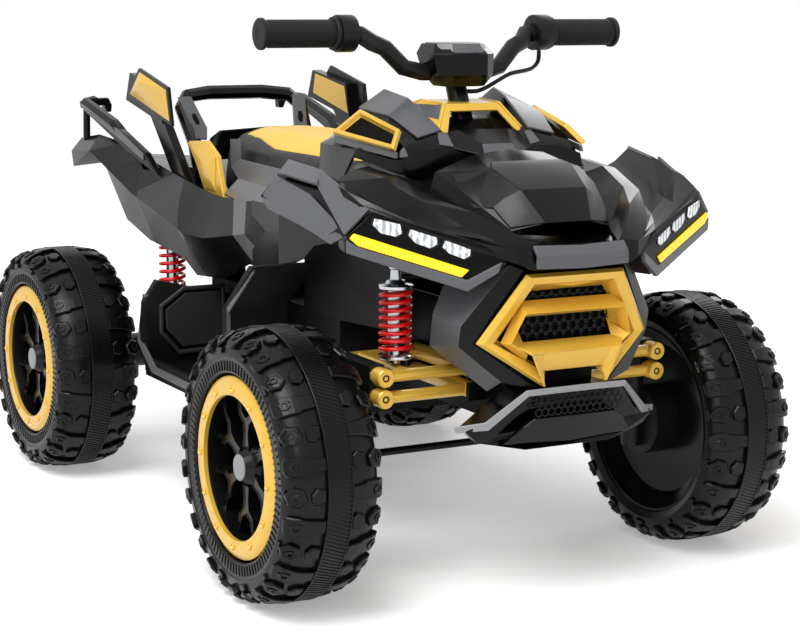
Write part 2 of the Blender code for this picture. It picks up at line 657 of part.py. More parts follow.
def loft_bm(rings):
    """A closed block through rings of points, capped at both ends."""
    bm = bmesh.new()
    loops = [[bm.verts.new(p) for p in ring] for ring in rings]
    for low, high in zip(loops, loops[1:]):
        count = len(low)
        for i in range(count):
            nxt = (i + 1) % count
            bm.faces.new((low[i], low[nxt], high[nxt], high[i]))
    bm.faces.new(loops[0])
    bm.faces.new(loops[-1])
    bmesh.ops.recalc_face_normals(bm, faces=bm.faces)
    return bm


def station(y, half):
    """A whole cross-section from the (x, z) points of its half, from the bottom middle to the top middle."""
    right = [(x, y, z) for x, z in half]
    left = [(-x, y, z) for x, z in reversed(half) if x > 0]
    return right + left


def frame_bm(outer, inner, depth):
    """A flat frame: a ring between two outlines of (x, y, z) points, carried back by depth in Y."""
    bm = bmesh.new()
    rings = []
    for points, back in ((outer, 0.0), (inner, 0.0), (inner, depth), (outer, depth)):
        rings.append([bm.verts.new((x, y + back, z)) for x, y, z in points])
    count = len(outer)
    for a, b in zip(rings, rings[1:] + rings[:1]):
        for i in range(count):
            nxt = (i + 1) % count
            bm.faces.new((a[i], a[nxt], b[nxt], b[i]))
    return bm


def fitted_cutter(rows):
    """The same panel with a gap on both sides, to cut from what it rests on."""
    thick = WALL + 2 * FIT
    cutter = shell("shape", rows, "gloss_black", wall=thick)
    cutter.modifiers["wall"].offset = 2 * FIT / thick - 1
    cutter.hide_render = True
    cutter.display_type = "WIRE"
    return cutter


def under_cutter(rows, columns, depth=0.040):
    """All that lies below a panel's outer face, raised by the gap, for cutting what stands on it."""
    bm = sheet_bm([row[:columns] for row in rows])
    bmesh.ops.translate(bm, vec=(0, 0, FIT), verts=bm.verts)
    made = bmesh.ops.extrude_face_region(bm, geom=list(bm.faces), use_keep_orig=True)
    moved = [v for v in made["geom"] if isinstance(v, bmesh.types.BMVert)]
    bmesh.ops.translate(bm, vec=(0, 0, -depth), verts=moved)
    return helper(bm)


def surface_z(rows, x, y, wall=0.0):
    """Height of a panel's outer face above the point (x, y), or of its inner face when wall is given."""
    tree = BVHTree.FromBMesh(sheet_bm(rows))
    place, normal = tree.ray_cast(Vector((x, y, 1.0)), Vector((0, 0, -1)))[:2]
    return place.z - wall / abs(normal.z)


def post(rows, x_low, x_high, y_low, y_high, z_low):
    """A square post whose top just clears the inside of a panel."""
    xs = (x_low, (x_low + x_high) / 2, x_high)
    ys = (y_low, (y_low + y_high) / 2, y_high)
    top = min(surface_z(rows, x, y, WALL) for x in xs for y in ys) - FIT
    return helper(box_bm((x_low, y_low, z_low), (x_high, y_high, top)))


def mirrored_outline(half):
    """Points of a closed outline from those on its +X side, top to bottom."""
    return half + [(-x, y, z) for x, y, z in reversed(half)]


# Front body: the hood with its lip, the V-shaped ridges and the front fenders, in one moulding
LIP_Y = -HALF_LENGTH
HOOD = [
    [(0, LIP_Y, .408), (.0648, LIP_Y + .002, .408), (.074, LIP_Y + .0055, .411), (.084, LIP_Y + .009, .415),
     (.130, -.535, .4325), (.185, -.505, .454), (.2326, -.478, .4745), (.2545, -.460, .4453)],
    [(0, LIP_Y + .011, .434), (.056, LIP_Y + .012, .434), (.064, LIP_Y + .015, .4365),
     (.086, LIP_Y + .013, .432),
     (.130, -.527, .440), (.185, -.497, .460), (.236, -.462, .481), (.258, -.440, .448)],
    [(0, -.535, .430), (.060, -.538, .432), (.086, -.531, .453), (.1055, -.540, .4405),
     (.140, -.510, .446), (.190, -.480, .465), (.239, -.435, .492), (.262, -.425, .440)],
    [(0, -.500, .436), (.080, -.500, .442), (.109, -.5016, .469), (.130, -.510, .455),
     (.158, -.480, .452), (.195, -.455, .468), (.240, -.416, .497), (.264, -.400, .450)],
    [(0, -.450, .474), (.090, -.450, .468), (.137, -.450, .483), (.155, -.457, .480),
     (.178, -.430, .462), (.203, -.418, .475), (.238, -.370, .510), (.272, -.360, .462)],
    [(0, -.385, .498), (.100, -.385, .490), (.150, -.385, .503), (.168, -.386, .500),
     (.188, -.370, .480), (.214, -.355, .490), (.245, -.335, .514), (.278, -.325, .470)],
    [(0, -.325, .508), (.105, -.325, .500), (.152, -.325, .508), (.172, -.325, .505),
     (.195, -.315, .490), (.222, -.310, .500), (.249, -.302, .516), (.284, -.298, .475)],
]
COLUMN_HOLE_R = 0.020


def column_way(radius):
    way = (Vector(COLUMN_TOP) - Vector(COLUMN_FOOT)).normalized()
    return rod_bm(Vector(COLUMN_FOOT) - way * 0.02, Vector(COLUMN_TOP) + way * 0.06, radius, 16)


front_body = shell("front_body", HOOD, "gloss_black")
cut(front_body, helper(column_way(COLUMN_HOLE_R)))
NOSE_POST_X = NOSE_X - 0.0035
NOSE_POST_Y = -0.460
POST_HALF = 0.007
for sign in (1, -1):
    low, high = sorted((sign * (NOSE_POST_X - POST_HALF), sign * (NOSE_POST_X + POST_HALF)))
    union(chassis, post(HOOD, low, high, NOSE_POST_Y - POST_HALF, NOSE_POST_Y + POST_HALF,
                        NOSE_TOP_Z - 0.030))

# Raised scoop panel, moulded onto the hood along its sides
SCOOP_SINK = 0.002
SCOOP = [
    [(0, -.534, .457), (.0303, -.533, .4567), (.0671, -.518, .4475)],
    [(0, -.503, .4905), (.0441, -.5018, .490), (.082, -.490, .4660)],
    [(0, -.452, .515), (.0583, -.4546, .5129), (.096, -.445, .4900)],
    [(0, -.400, .530), (.0500, -.400, .5250), (.103, -.400, .5060)],
]
FOOT_OUT = 0.006
for row in SCOOP:
    x, y, z = row[-1]
    row.append((x + FOOT_OUT, y, surface_z(HOOD, x + FOOT_OUT, y) - SCOOP_SINK))
scoop = shell("shape", SCOOP, "gloss_black")
scoop.hide_render = True
scoop.display_type = "WIRE"
union(front_body, scoop)

# Headlamps: a housing behind the lip on each side, its top following the hood
LAMP_DEPTH = 0.038
LAMP_FACE = [(.226, -.4745, .4705), (.130, -.5300, .4315), (.092, -.5480, .4150), (.128, -.5216, .3846),
             (.2563, -.4625, .4262), (.2540, -.4570, .4380)]
for sign in (1, -1):
    face = flip_x(LAMP_FACE, sign)
    back = [(x - sign * 0.012, y + LAMP_DEPTH, z) for x, y, z in face]
    lamp = add(sided("headlamp", sign), block_bm(face, back), "grey")
    cut(lamp, fitted_cutter(HOOD))

# Grille: a gold frame with two slats in front of a black mesh panel
MESH_BACK = NOSE_FRONT_Y - GAP
MESH_FRONT = -0.5250
GRILLE_DEPTH = 0.014
GRILLE_OUT = mirrored_outline([(.0677, -.5500, .4015), (.1195, -.5263, .3205), (.0436, -.5535, .2681)])
GRILLE_IN = mirrored_outline([(.0545, -.5480, .3880), (.0950, -.5300, .3205), (.0370, -.5510, .2840)])
grille = add("grille_frame", frame_bm(GRILLE_OUT, GRILLE_IN, GRILLE_DEPTH), "gold")
for slat_z, slat_x, slat_y in ((0.357, 0.078, -0.5500), (0.3134, 0.092, -0.5400)):
    union(grille, helper(prism_bm(
        [(slat_y, slat_z + 0.008), (slat_y - 0.003, slat_z - 0.006), (slat_y + 0.004, slat_z - 0.006),
         (slat_y + 0.016, slat_z + 0.004)], 0, -slat_x, slat_x)))
MESH_HALF = [(.060, .3930), (.100, .3205), (.052, .2800)]
mesh_outline = MESH_HALF + [(-x, z) for x, z in reversed(MESH_HALF)]
mesh = add("grille_mesh", prism_bm(mesh_outline, 1, MESH_FRONT, MESH_BACK), "frame_black")
cut(grille, helper(prism_bm([(x * 1.004, z) for x, z in mesh_outline], 1, MESH_FRONT - GAP,
                            MESH_BACK + 0.02)))

# Front bumper, bolted to the nose below the grille
BUMPER_FACE = mirrored_outline([(.066, -.5570, .2620), (.1322, -.5291, .2180), (.1180, -.5312, .2040),
                                (.0600, -.5450, .1930)])
bumper = add("front_bumper", block_bm(
    BUMPER_FACE, [(x * 0.94, MESH_BACK, z) for x, y, z in BUMPER_FACE]), "gloss_black")

# Rear body: the seat's base, the deck behind it and the rear fenders
TAIL_Y = HALF_LENGTH
SEAT_BASE_Z = 0.405
REAR = [
    [(0, -.150, .420), (.100, -.150, .420), (.142, -.120, .441), (.163, -.075, .400), (.158, -.062, .345)],
    [(0, -.020, SEAT_BASE_Z), (.105, -.020, SEAT_BASE_Z), (.158, -.020, .432), (.175, -.020, .390),
     (.160, .000, .345)],
    [(0, .100, SEAT_BASE_Z), (.110, .100, SEAT_BASE_Z), (.162, .100, .428), (.185, .100, .370),
     (.160, .085, .313)],
    [(0, .155, SEAT_BASE_Z), (.110, .155, SEAT_BASE_Z), (.163, .155, .433), (.190, .160, .370),
     (.162, .175, .306)],
    [(0, .250, .410), (.115, .250, .412), (.165, .250, .446), (.195, .240, .390), (.168, .210, .328)],
    [(0, .340, .430), (.120, .340, .432), (.170, .340, .462), (.200, .330, .410), (.180, .310, .342)],
    [(0, .420, .440), (.130, .420, .445), (.175, .420, .478), (.205, .420, .440), (.190, .375, .366)],
    [(0, .500, .445), (.150, .500, .455), (.185, .500, .485), (.210, .480, .462), (.200, .440, .447)],
    [(0, .548, .440), (.165, .560, .450), (.190, TAIL_Y, .475), (.208, TAIL_Y - .002, .455),
     (.205, TAIL_Y - .002, .430)],
]
rear_body = shell("rear_body", REAR, "gloss_black")

# Wings that rise from the rear fenders, each with its stem
WING_T = 0.016
WING = [(.4238, .5839), (.3095, .5688), (.2950, .5150), (.4400, .5420)]
for sign in (1, -1):
    x_low = 0.148
    stem = [(.3000, .5200), (.3500, .5250), (.2600, .4380), (.2100, .4330)]
    for outline, out in ((WING, WING_T), (stem, WING_T - 0.003)):
        low, high = sorted((sign * x_low, sign * (x_low + out)))
        union(rear_body, helper(prism_bm(outline, 0, low, high)))
    rail = [(.175, .330, .452), (.186, .430, .505), (.190, .545, .531), (.172, .552, .533)]
    union(rear_body, helper(tube_bm(flip_x(rail, sign), 0.009, 6)))
    union(rear_body, helper(rod_bm((sign * .188, .550, .450), (sign * .189, .545, .528), 0.006, 6)))
POST_Y = TUB_REAR_Y - TUB_WALL
for sign in (1, -1):
    x_low, x_high = sorted((sign * (TUB_X - 0.030), sign * (TUB_X - 0.014)))
    union(chassis, post(REAR, x_low, x_high, POST_Y - 0.010, POST_Y + 0.002, TUB_TOP_Z - 0.04))
    union(chassis, post(REAR, x_low, x_high, TUB_FRONT_Y + 0.060, TUB_FRONT_Y + 0.075, TUB_FLOOR_Z + 0.002))

# Gold side panels beside the seat, standing on the rear body
SIDE_T = 0.008
SIDE = [(.2400, .4940), (.1790, .4990), (.1410, .4800), (.1120, .4100), (.1700, .4100)]
for sign in (1, -1):
    low, high = sorted((sign * 0.138, sign * (0.138 + SIDE_T)))
    panel = add(sided("side_panel", sign), prism_bm(SIDE, 0, low, high), "gold")
    cut(panel, under_cutter(REAR, 3))

# Backrest bar: two posts from the rear deck joined by a grab bar
BAR_TOP_Z = 0.5450
BAR_TUBE_R = 0.011
deck = surface_z(REAR, .095, .320)
half_bar = [(.095, .315, deck + 0.010), (.095, .335, .480), (.101, .372, BAR_TOP_Z - 0.012),
            (.086, .385, BAR_TOP_Z + 0.004), (.045, .398, BAR_TOP_Z + 0.008)]
route = half_bar + [(-x, y, z) for x, y, z in reversed(half_bar)]
bar = add("backrest_bar", tube_bm(route, BAR_TUBE_R, 8), "gloss_black")
for sign in (1, -1):
    low, high = sorted((sign * 0.080, sign * 0.110))
    union(bar, helper(box_bm((low, .298, deck - 0.004), (high, .332, deck + 0.020))))
cut(bar, under_cutter(REAR, 3))

# Seat: a padded saddle on its base, crowned along the middle
SEAT_FRONT_Y = -0.135
SEAT_REAR_Y = 0.262
seat_rings = []
for y, half_w, top, base in ((SEAT_FRONT_Y, .060, .478, .421), (-.110, .078, .500, .417),
                             (-.040, .088, .510, 0.408),
                             (.060, .094, .513, 0.406), (.160, .096, .514, 0.406), (.235, .092, .512, 0.410),
                             (SEAT_REAR_Y, .078, .496, .4145)):
    seat_rings.append(station(y, [
        (0, base + FIT), (half_w - .010, base + FIT), (half_w, base + .018), (half_w - .006, top - .028),
        (half_w - .026, top - .009), (half_w * .40, top - .001), (0, top)]))
seat = add("seat", loft_bm(seat_rings), "seat", smooth=True)
cut(seat, under_cutter(REAR, 3))

# Cowl: the cover between the hood and the seat, with a block on each side that holds a vent
COWL = [
    [(0, -.367, .528), (.040, -.367, .5285), (.058, -.363, .5300), (.096, -.362, .5290), (.118, -.362, .5220),
     (.130, -.364, .5180)],
    [(0, -.345, .536), (.042, -.343, .5380), (.062, -.345, .5480), (.098, -.350, .5400), (.120, -.355, .5330),
     (.134, -.350, .5180)],
    [(0, -.275, .560), (.045, -.275, .5600), (.070, -.275, .5840), (.110, -.300, .5640), (.130, -.320, .5420),
     (.152, -.290, .5240)],
    [(0, -.215, .560), (.050, -.215, .5620), (.080, -.230, .5930), (.118, -.235, .5700), (.134, -.240, .5450),
     (.152, -.230, .5260)],
    [(0, -.160, .520), (.052, -.160, .5240), (.084, -.165, .5440), (.114, -.172, .5400), (.126, -.178, .5330),
     (.142, -.176, .5240)],
]
FOOT_LIFT = 0.0018
FOOT_REACH = 0.0055
SKIRT_LOW_Z = 0.450
SKIRT_MID_Z = 0.517
SKIRT_STEP = 0.060


def foot_z(x, y):
    """Where the skirt's lower edge clears the hood on both sides of itself."""
    beside = [surface_z(HOOD, abs(x + side), y) for side in (-FOOT_REACH, 0, FOOT_REACH)]
    return max(beside) + FOOT_LIFT


for row in COWL:
    x, y, z = row[-1]
    hood_end = HOOD[-1][0][1]
    if y > hood_end + SKIRT_STEP:
        low = SKIRT_LOW_Z
    elif y > hood_end:
        low = SKIRT_MID_Z
    else:
        low = foot_z(x + 0.004, y)
    row.append((x + 0.004, y, low))
COWL.insert(0, [(x, y - 0.002, foot_z(x, y - 0.002)) for x, y, z in COWL[0]])
cowl = shell("cowl", COWL, "gloss_black")
cut(cowl, helper(column_way(COLUMN_HOLE_R)))

# Dash trim: the gold arch that stands on the cowl around the foot of the steering column
DASH_RINGS = [
    (-.352, .0560, .0460, .5380, .5580),
    (-.332, .0610, .0440, .5430, .5740),
    (-.285, .0420, .0380, .5600, .5860),
    (-.262, .0360, .0330, .5600, .5780),
]
dash_stations = []
for y, wide, narrow, low, high in DASH_RINGS:
    dash_stations.append(station(y, [(0, low), (wide, low), (wide, low + .006), (narrow, high), (0, high)]))
dash = add("dash_trim", loft_bm(dash_stations), "gold")
cut(dash, helper(column_way(COLUMN_HOLE_R + 0.001)))
cut(dash, under_cutter(COWL[1:], 4, 0.060))
MOUTH = [(-0.036, .552), (0.036, .552), (0.032, .567), (-0.032, .567)]
cut(dash, helper(prism_bm(MOUTH, 1, -0.40, -0.318)))

# Handlebar: the column, the bent bar and its clamp, in one welded piece
column_dir = (Vector(COLUMN_TOP) - Vector(COLUMN_FOOT)).normalized()
BAR_CLAMP = Vector(COLUMN_TOP) + column_dir * 0.062
bar_half = [(0.000, BAR_CLAMP.y, BAR_CLAMP.z), (0.045, BAR_CLAMP.y, BAR_CLAMP.z),
            (0.070, BAR_CLAMP.y + .003, BAR_CLAMP.z + .006), (0.094, BAR_CLAMP.y + .008, BAR_CLAMP.z + .030),
            (0.110, BAR_CLAMP.y + .012, GRIP_Z - .011), (0.122, GRIP_Y, GRIP_Z - .001),
            (0.130, GRIP_Y, GRIP_Z), (0.150, GRIP_Y, GRIP_Z),
            (GRIP_END_X - 0.006, GRIP_Y, GRIP_Z)]
bar_route = [(-x, y, z) for x, y, z in reversed(bar_half[1:])] + bar_half
handlebar = add("handlebar", tube_bm(bar_route, BAR_R, 10), "frame_black", COLUMN_TOP, smooth=True)
COLUMN_R = 0.013
union(handlebar, helper(rod_bm(COLUMN_FOOT, BAR_CLAMP, COLUMN_R, 12)))

# Grips, switch pods and the console pod on the bar
FLANGE_W = 0.006
END_WALL = 0.0055
BORE_RUN = 0.030
BUTTON_R = 0.005
BUTTON_HALF = 0.002
for sign in (1, -1):
    start = GRIP_END_X - GRIP_LENGTH

    def along_bar(low_x, high_x, radius, sides):
        return rod_bm((sign * low_x, GRIP_Y, GRIP_Z), (sign * high_x, GRIP_Y, GRIP_Z), radius, sides)

    grip = add(sided("grip", sign), along_bar(start, GRIP_END_X, GRIP_R, 14), "rubber",
               (sign * start, GRIP_Y, GRIP_Z), smooth=True)
    for near, radius in ((start, GRIP_R + .004), (GRIP_END_X - FLANGE_W, GRIP_R + .003)):
        union(grip, helper(along_bar(near + .0001, near + FLANGE_W, radius, 14)))
    cut(grip, helper(along_bar(start - BORE_RUN, GRIP_END_X - END_WALL, BAR_R + BAR_CLEAR, 12)))
    pod_x = start - GAP - POD_W
    pod = add(sided("switch_pod", sign), along_bar(pod_x, pod_x + POD_W, POD_R, 16), "frame_black",
              (sign * pod_x, GRIP_Y, GRIP_Z), smooth=True)
    cut(pod, helper(along_bar(pod_x - BORE_RUN, GRIP_END_X + BORE_RUN, BAR_R + BAR_CLEAR, 12)))
    if sign < 0:
        continue
    button_way = Vector((0, 0.85, 0.53)).normalized()
    seat_of_button = Vector((sign * (pod_x + POD_W / 2), GRIP_Y, GRIP_Z)) + button_way * (POD_R + 0.0008)
    cut(pod, helper(rod_bm(seat_of_button - button_way * 0.005, seat_of_button + button_way * 0.01,
                           BUTTON_R + 0.0005, 12)))
    half_button = button_way * BUTTON_HALF
    add("horn_button", rod_bm(seat_of_button - half_button, seat_of_button + half_button, BUTTON_R, 12),
        "gold", seat_of_button, smooth=True)

POD_LOW_Z = 0.600
pod_rings = [
    (POD_LOW_Z, .030, .020, -.280), (POD_LOW_Z + .014, .040, .032, -.278),
    (POD_LOW_Z + .040, .044, .036, -.270),
    (POD_LOW_Z + .052, .036, .028, -.264),
]


def pod_ring(z, half_x, half_y, y):
    near_x, near_y = 0.6 * half_x, 0.6 * half_y
    right_side = [(half_x, y - near_y, z), (half_x, y + near_y, z), (near_x, y + half_y, z)]
    return right_side + [(-near_x, y + half_y, z), (-half_x, y + near_y, z), (-half_x, y - near_y, z),
                         (-near_x, y - half_y, z), (near_x, y - half_y, z)]


console = add("console_pod", loft_bm([pod_ring(*ring) for ring in pod_rings]), "gloss_black", COLUMN_TOP)
cut(console, helper(tube_bm(bar_route, BAR_R + 0.0005, 12)),
    helper(rod_bm(COLUMN_FOOT, BAR_CLAMP + column_dir * 0.0005, 0.0135, 16)))

# Bearing cup under the column, on a bridge across the nose
CUP_R = 0.018
cup_low = Vector(COLUMN_FOOT) - column_dir * 0.020
union(chassis, helper(rod_bm(cup_low, Vector(COLUMN_FOOT) - column_dir * GAP, CUP_R, 16)))
union(chassis, helper(box_bm((-NOSE_X + TUB_WALL / 2, cup_low.y - 0.014, cup_low.z - 0.004),
                             (NOSE_X - TUB_WALL / 2, cup_low.y + 0.014, cup_low.z + 0.006))))

# Cable from the left switch pod, over the cowl and under the console pod, to the side of the column
CABLE_R = 0.0028
CABLE_END_Z = POD_LOW_Z - 0.0075
CABLE_END_GAP = 0.0006
column_side = Vector(COLUMN_TOP) + column_dir * ((CABLE_END_Z - COLUMN_TOP[2]) / column_dir.z)
cable_route = [
    (0.144, GRIP_Y, GRIP_Z - POD_R - GAP), (0.144, GRIP_Y, GRIP_Z - POD_R - 0.008),
    (0.138, GRIP_Y - .006, CABLE_END_Z + .033), (0.122, GRIP_Y - .016, CABLE_END_Z + .026),
    (0.100, GRIP_Y - .026, CABLE_END_Z + .0235), (0.080, GRIP_Y - .032, CABLE_END_Z + .021),
    (0.062, GRIP_Y - .034, CABLE_END_Z + .0135), (0.045, GRIP_Y - .034, CABLE_END_Z + .005),
    (0.030, column_side.y, CABLE_END_Z), (COLUMN_R + CABLE_END_GAP, column_side.y, CABLE_END_Z)]


def smooth_route(points, steps):
    """Points along a smooth curve that passes through every given point."""
    points = [Vector(p) for p in points]
    ends = [points[0] * 2 - points[1]] + points + [points[-1] * 2 - points[-2]]
    out = []
    for i in range(1, len(ends) - 2):
        a, b, c, d = ends[i - 1:i + 3]
        for step in range(steps):
            t = step / steps
            out.append(0.5 * ((2 * b) + (c - a) * t + (2 * a - 5 * b + 4 * c - d) * t ** 2
                              + (3 * b - a - 3 * c + d) * t ** 3))
    out.append(points[-1])
    return out


add("handlebar_cable", tube_bm(smooth_route(cable_route, 2), CABLE_R, 6), "rubber", smooth=True)

# Accelerator pedal on the driver's right footboard, hinged at its heel
FLOOR_TOP_Z = TUB_FLOOR_Z + FOOT_T
PEDAL = [(.062, FLOOR_TOP_Z + .0006), (.062, FLOOR_TOP_Z + .0036), (.012, FLOOR_TOP_Z + .0266),
         (.010, FLOOR_TOP_Z + .0236), (.056, FLOOR_TOP_Z + .0006)]
PEDAL_X = (-0.200, -0.152)
add("accelerator_pedal", prism_bm(PEDAL, 0, *PEDAL_X), "frame_black",
    (PEDAL_X[0], PEDAL[0][0] - .003, FLOOR_TOP_Z + .002))
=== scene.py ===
"""The looks of a child's battery-powered quad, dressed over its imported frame.

Metres, +Z up, the front towards -Y, the rider's left +X. Sections follow the order of assembly.
"""

import json
import math

import bpy
from mathutils import Matrix, Vector


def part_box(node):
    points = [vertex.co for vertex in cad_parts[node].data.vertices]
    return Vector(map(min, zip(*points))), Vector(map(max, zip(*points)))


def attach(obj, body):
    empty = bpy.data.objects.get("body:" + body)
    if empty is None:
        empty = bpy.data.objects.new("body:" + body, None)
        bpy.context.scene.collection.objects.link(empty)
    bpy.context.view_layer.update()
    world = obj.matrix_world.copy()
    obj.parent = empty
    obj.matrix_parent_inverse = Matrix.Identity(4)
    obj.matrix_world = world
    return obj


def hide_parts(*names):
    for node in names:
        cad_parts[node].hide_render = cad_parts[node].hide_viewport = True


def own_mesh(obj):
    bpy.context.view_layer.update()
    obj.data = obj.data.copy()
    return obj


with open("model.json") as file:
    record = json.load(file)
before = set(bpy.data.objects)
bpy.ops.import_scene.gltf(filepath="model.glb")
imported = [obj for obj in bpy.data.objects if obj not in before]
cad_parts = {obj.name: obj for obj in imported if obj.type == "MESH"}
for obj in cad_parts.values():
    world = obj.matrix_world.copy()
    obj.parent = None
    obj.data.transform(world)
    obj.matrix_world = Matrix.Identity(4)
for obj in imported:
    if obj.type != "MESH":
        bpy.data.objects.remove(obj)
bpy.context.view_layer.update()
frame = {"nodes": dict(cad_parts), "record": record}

# Camera and studio: one long lens in front of the right headlamp, a wide white floor and three soft boxes.
# The floor and the sky show white to the camera, and the floor keeps the shadow under the tyres.
CAMERA_AT = Vector((-1.28759, -2.42897, 0.74002))
YAW, PITCH, ROLL = (math.radians(value) for value in (29.3171, 9.9763, -0.6638))
LENS_MM = 89.01
SENSOR_MM = 36
ahead = Vector((math.sin(YAW) * math.cos(PITCH), math.cos(YAW) * math.cos(PITCH), -math.sin(PITCH)))
level = Vector((math.cos(YAW), -math.sin(YAW), 0))
below = ahead.cross(level)
across = math.cos(ROLL) * level + math.sin(ROLL) * below
down = math.cos(ROLL) * below - math.sin(ROLL) * level


def added(name, data):
    """A new object in the scene."""
    made = bpy.data.objects.new(name, data)
    bpy.context.scene.collection.objects.link(made)
    return made


camera_data = bpy.data.cameras.new("camera")
camera_data.lens = LENS_MM
camera_data.sensor_width = SENSOR_MM
camera = added("camera", camera_data)
camera.matrix_world = Matrix.Translation(CAMERA_AT) @ Matrix((across, -down, -ahead)).transposed().to_4x4()
bpy.context.scene.camera = camera
bpy.context.scene.view_settings.view_transform = "Standard"


def linear(code):
    """The linear colour of an sRGB hex code."""
    parts = [int(code[i:i + 2], 16) / 255 for i in (1, 3, 5)]
    return [p / 12.92 if p <= 0.04045 else ((p + 0.055) / 1.055) ** 2.4 for p in parts] + [1.0]


def put(tree, kind, sockets, **settings):
    """Add one node with its settings. A socket takes a number, a colour or another node's output."""
    made = tree.nodes.new(kind)
    for name, value in settings.items():
        setattr(made, name, value)
    for name, value in sockets.items():
        if isinstance(value, bpy.types.NodeSocket):
            tree.links.new(value, made.inputs[name])
        else:
            made.inputs[name].default_value = value
    return made


def arith(tree, operation, *terms):
    """The output of a Math node. A term is a number or another node's output."""
    return put(tree, "ShaderNodeMath", dict(enumerate(terms)), operation=operation).outputs[0]


def ramp(tree, value, low, high, to_low=0.0, to_high=1.0):
    """The output of a Map Range node, which holds its ends."""
    return put(tree, "ShaderNodeMapRange", {
        "Value": value, "From Min": low, "From Max": high, "To Min": to_low, "To Max": to_high}).outputs[0]


def bare(name):
    """A new material without nodes, and its node tree."""
    made = bpy.data.materials.new(name)
    made.use_nodes = True
    made.node_tree.nodes.clear()
    return made, made.node_tree


def seen(tree):
    """1 for rays from the camera, mirrored ones and refracted ones, and 0 for the light on the object."""
    path = put(tree, "ShaderNodeLightPath", {}).outputs
    either = arith(tree, "MAXIMUM", path["Is Camera Ray"], path["Is Glossy Ray"])
    return arith(tree, "MAXIMUM", either, path["Is Transmission Ray"])


SKY_LIGHT = 0.24
world = bpy.data.worlds.new("studio")
bpy.context.scene.world = world
world.use_nodes = True
world.node_tree.nodes.clear()
strength = ramp(world.node_tree, seen(world.node_tree), 0.0, 1.0, SKY_LIGHT)
sky = put(world.node_tree, "ShaderNodeBackground", {"Color": linear("#ffffff"), "Strength": strength})
put(world.node_tree, "ShaderNodeOutputWorld", {"Surface": sky.outputs[0]})

FLOOR_LIFT = 0.33
FLOOR_SIZE = 40
bpy.ops.mesh.primitive_plane_add(size=FLOOR_SIZE)
floor = bpy.context.object
floor.name = "floor"
paper, tree = bare("matt_white_board")
board = put(tree, "ShaderNodeBsdfDiffuse", {"Color": linear("#ffffff")})
lift = arith(tree, "MULTIPLY", seen(tree), FLOOR_LIFT)
glow = put(tree, "ShaderNodeEmission", {"Color": linear("#ffffff"), "Strength": lift})
both = put(tree, "ShaderNodeAddShader", {0: board.outputs[0], 1: glow.outputs[0]})
put(tree, "ShaderNodeOutputMaterial", {"Surface": both.outputs[0]})
floor.data.materials.append(paper)

SUN_POWER = 1.65
SUN_SPREAD = math.radians(50)
SUN_FROM = Vector((-0.55, -0.36, 1.0))
sun_data = bpy.data.lights.new("sun", "SUN")
sun_data.energy = SUN_POWER
sun_data.angle = SUN_SPREAD
sun = added("sun", sun_data)
sun.rotation_euler = (-SUN_FROM).to_track_quat("-Z", "Y").to_euler()

# Each soft box: its name, place, watts and width.
LIGHTS = (("key", (-1.3, -1.1, 2.6), 34, 1.4), ("front", (-1.6, -2.6, 1.5), 8, 0.9),
          ("rim", (2.2, 1.6, 2.0), 16, 1.4))
LIGHT_AIM = Vector((0, 0, 0.35))
for name, place, power, size in LIGHTS:
    light_data = bpy.data.lights.new(name, "AREA")
    light_data.energy = power
    light_data.shape = "DISK"
    light_data.size = size
    light = added(name, light_data)
    light.location = place
    light.rotation_euler = (LIGHT_AIM - Vector(place)).to_track_quat("-Z", "Y").to_euler()

# Chassis: the tub with its nose, footboards, mud walls and inner liners is one polypropylene moulding with
# a fine spark-eroded grain. The battery stands on its floor, and can't be seen from outside.
body_of = {node: body for body, members in frame["record"]["behaviour"]["bodies"].items() for node in members}


def only(*chosen):
    """Leave just these objects selected, the first one active."""
    bpy.ops.object.select_all(action="DESELECT")
    for piece in chosen:
        piece.select_set(True)
    bpy.context.view_layer.objects.active = chosen[0]


def edit(piece, *steps, chosen=False):
    """Run operators on a piece in edit mode, everything selected first, or only what was chosen before.
    A step is (operator, settings)."""
    only(piece)
    bpy.ops.object.mode_set(mode="EDIT")
    if not chosen:
        bpy.ops.mesh.select_all(action="SELECT")
    for operator, settings in steps:
        operator(**settings)
    bpy.ops.object.mode_set(mode="OBJECT")


def weld(distance=1e-5):
    """The step that makes points this close together one."""
    return bpy.ops.mesh.remove_doubles, {"threshold": distance}


def modify(piece, kind, **settings):
    """Add one modifier and apply it."""
    only(piece)
    made = piece.modifiers.new(kind.lower(), kind)
    for name, value in settings.items():
        setattr(made, name, value)
    bpy.ops.object.modifier_apply(modifier=made.name)


def smooth(piece, degrees):
    """Shade smoothly across edges that bend less than this."""
    only(piece)
    bpy.ops.object.shade_smooth_by_angle(angle=math.radians(degrees))


def rounded(piece, width, degrees):
    """Round the edges that bend more than this, and shade smoothly across the others."""
    modify(piece, "BEVEL", width=width, segments=2, limit_method="ANGLE", angle_limit=math.radians(degrees),
           use_clamp_overlap=True)
    smooth(piece, degrees)


def cover(piece, material):
    """Give a piece its one material."""
    piece.data.materials.clear()
    piece.data.materials.append(material)


def stand_for(piece, *names):
    """The piece is shown in place of these nodes, and has the first one's body and finish."""
    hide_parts(*names)
    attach(piece, body_of[names[0]])


FLAT = math.radians(0.6)


def softened(node, material, width=0.0012, degrees=25):
    """A copy of a node with its moulded edges rounded, shown in its place."""
    piece = added(node + "_finished", frame["nodes"][node].data.copy())
    cover(piece, material)
    edit(piece, weld(), (bpy.ops.mesh.dissolve_limited, {"angle_limit": FLAT}))
    rounded(piece, width, degrees)
    stand_for(piece, node)
    return piece


def noise(tree, where, scale, detail):
    """Smooth noise from 0 to 1."""
    return put(tree, "ShaderNodeTexNoise", {"Vector": where, "Scale": scale, "Detail": detail}).outputs["Fac"]


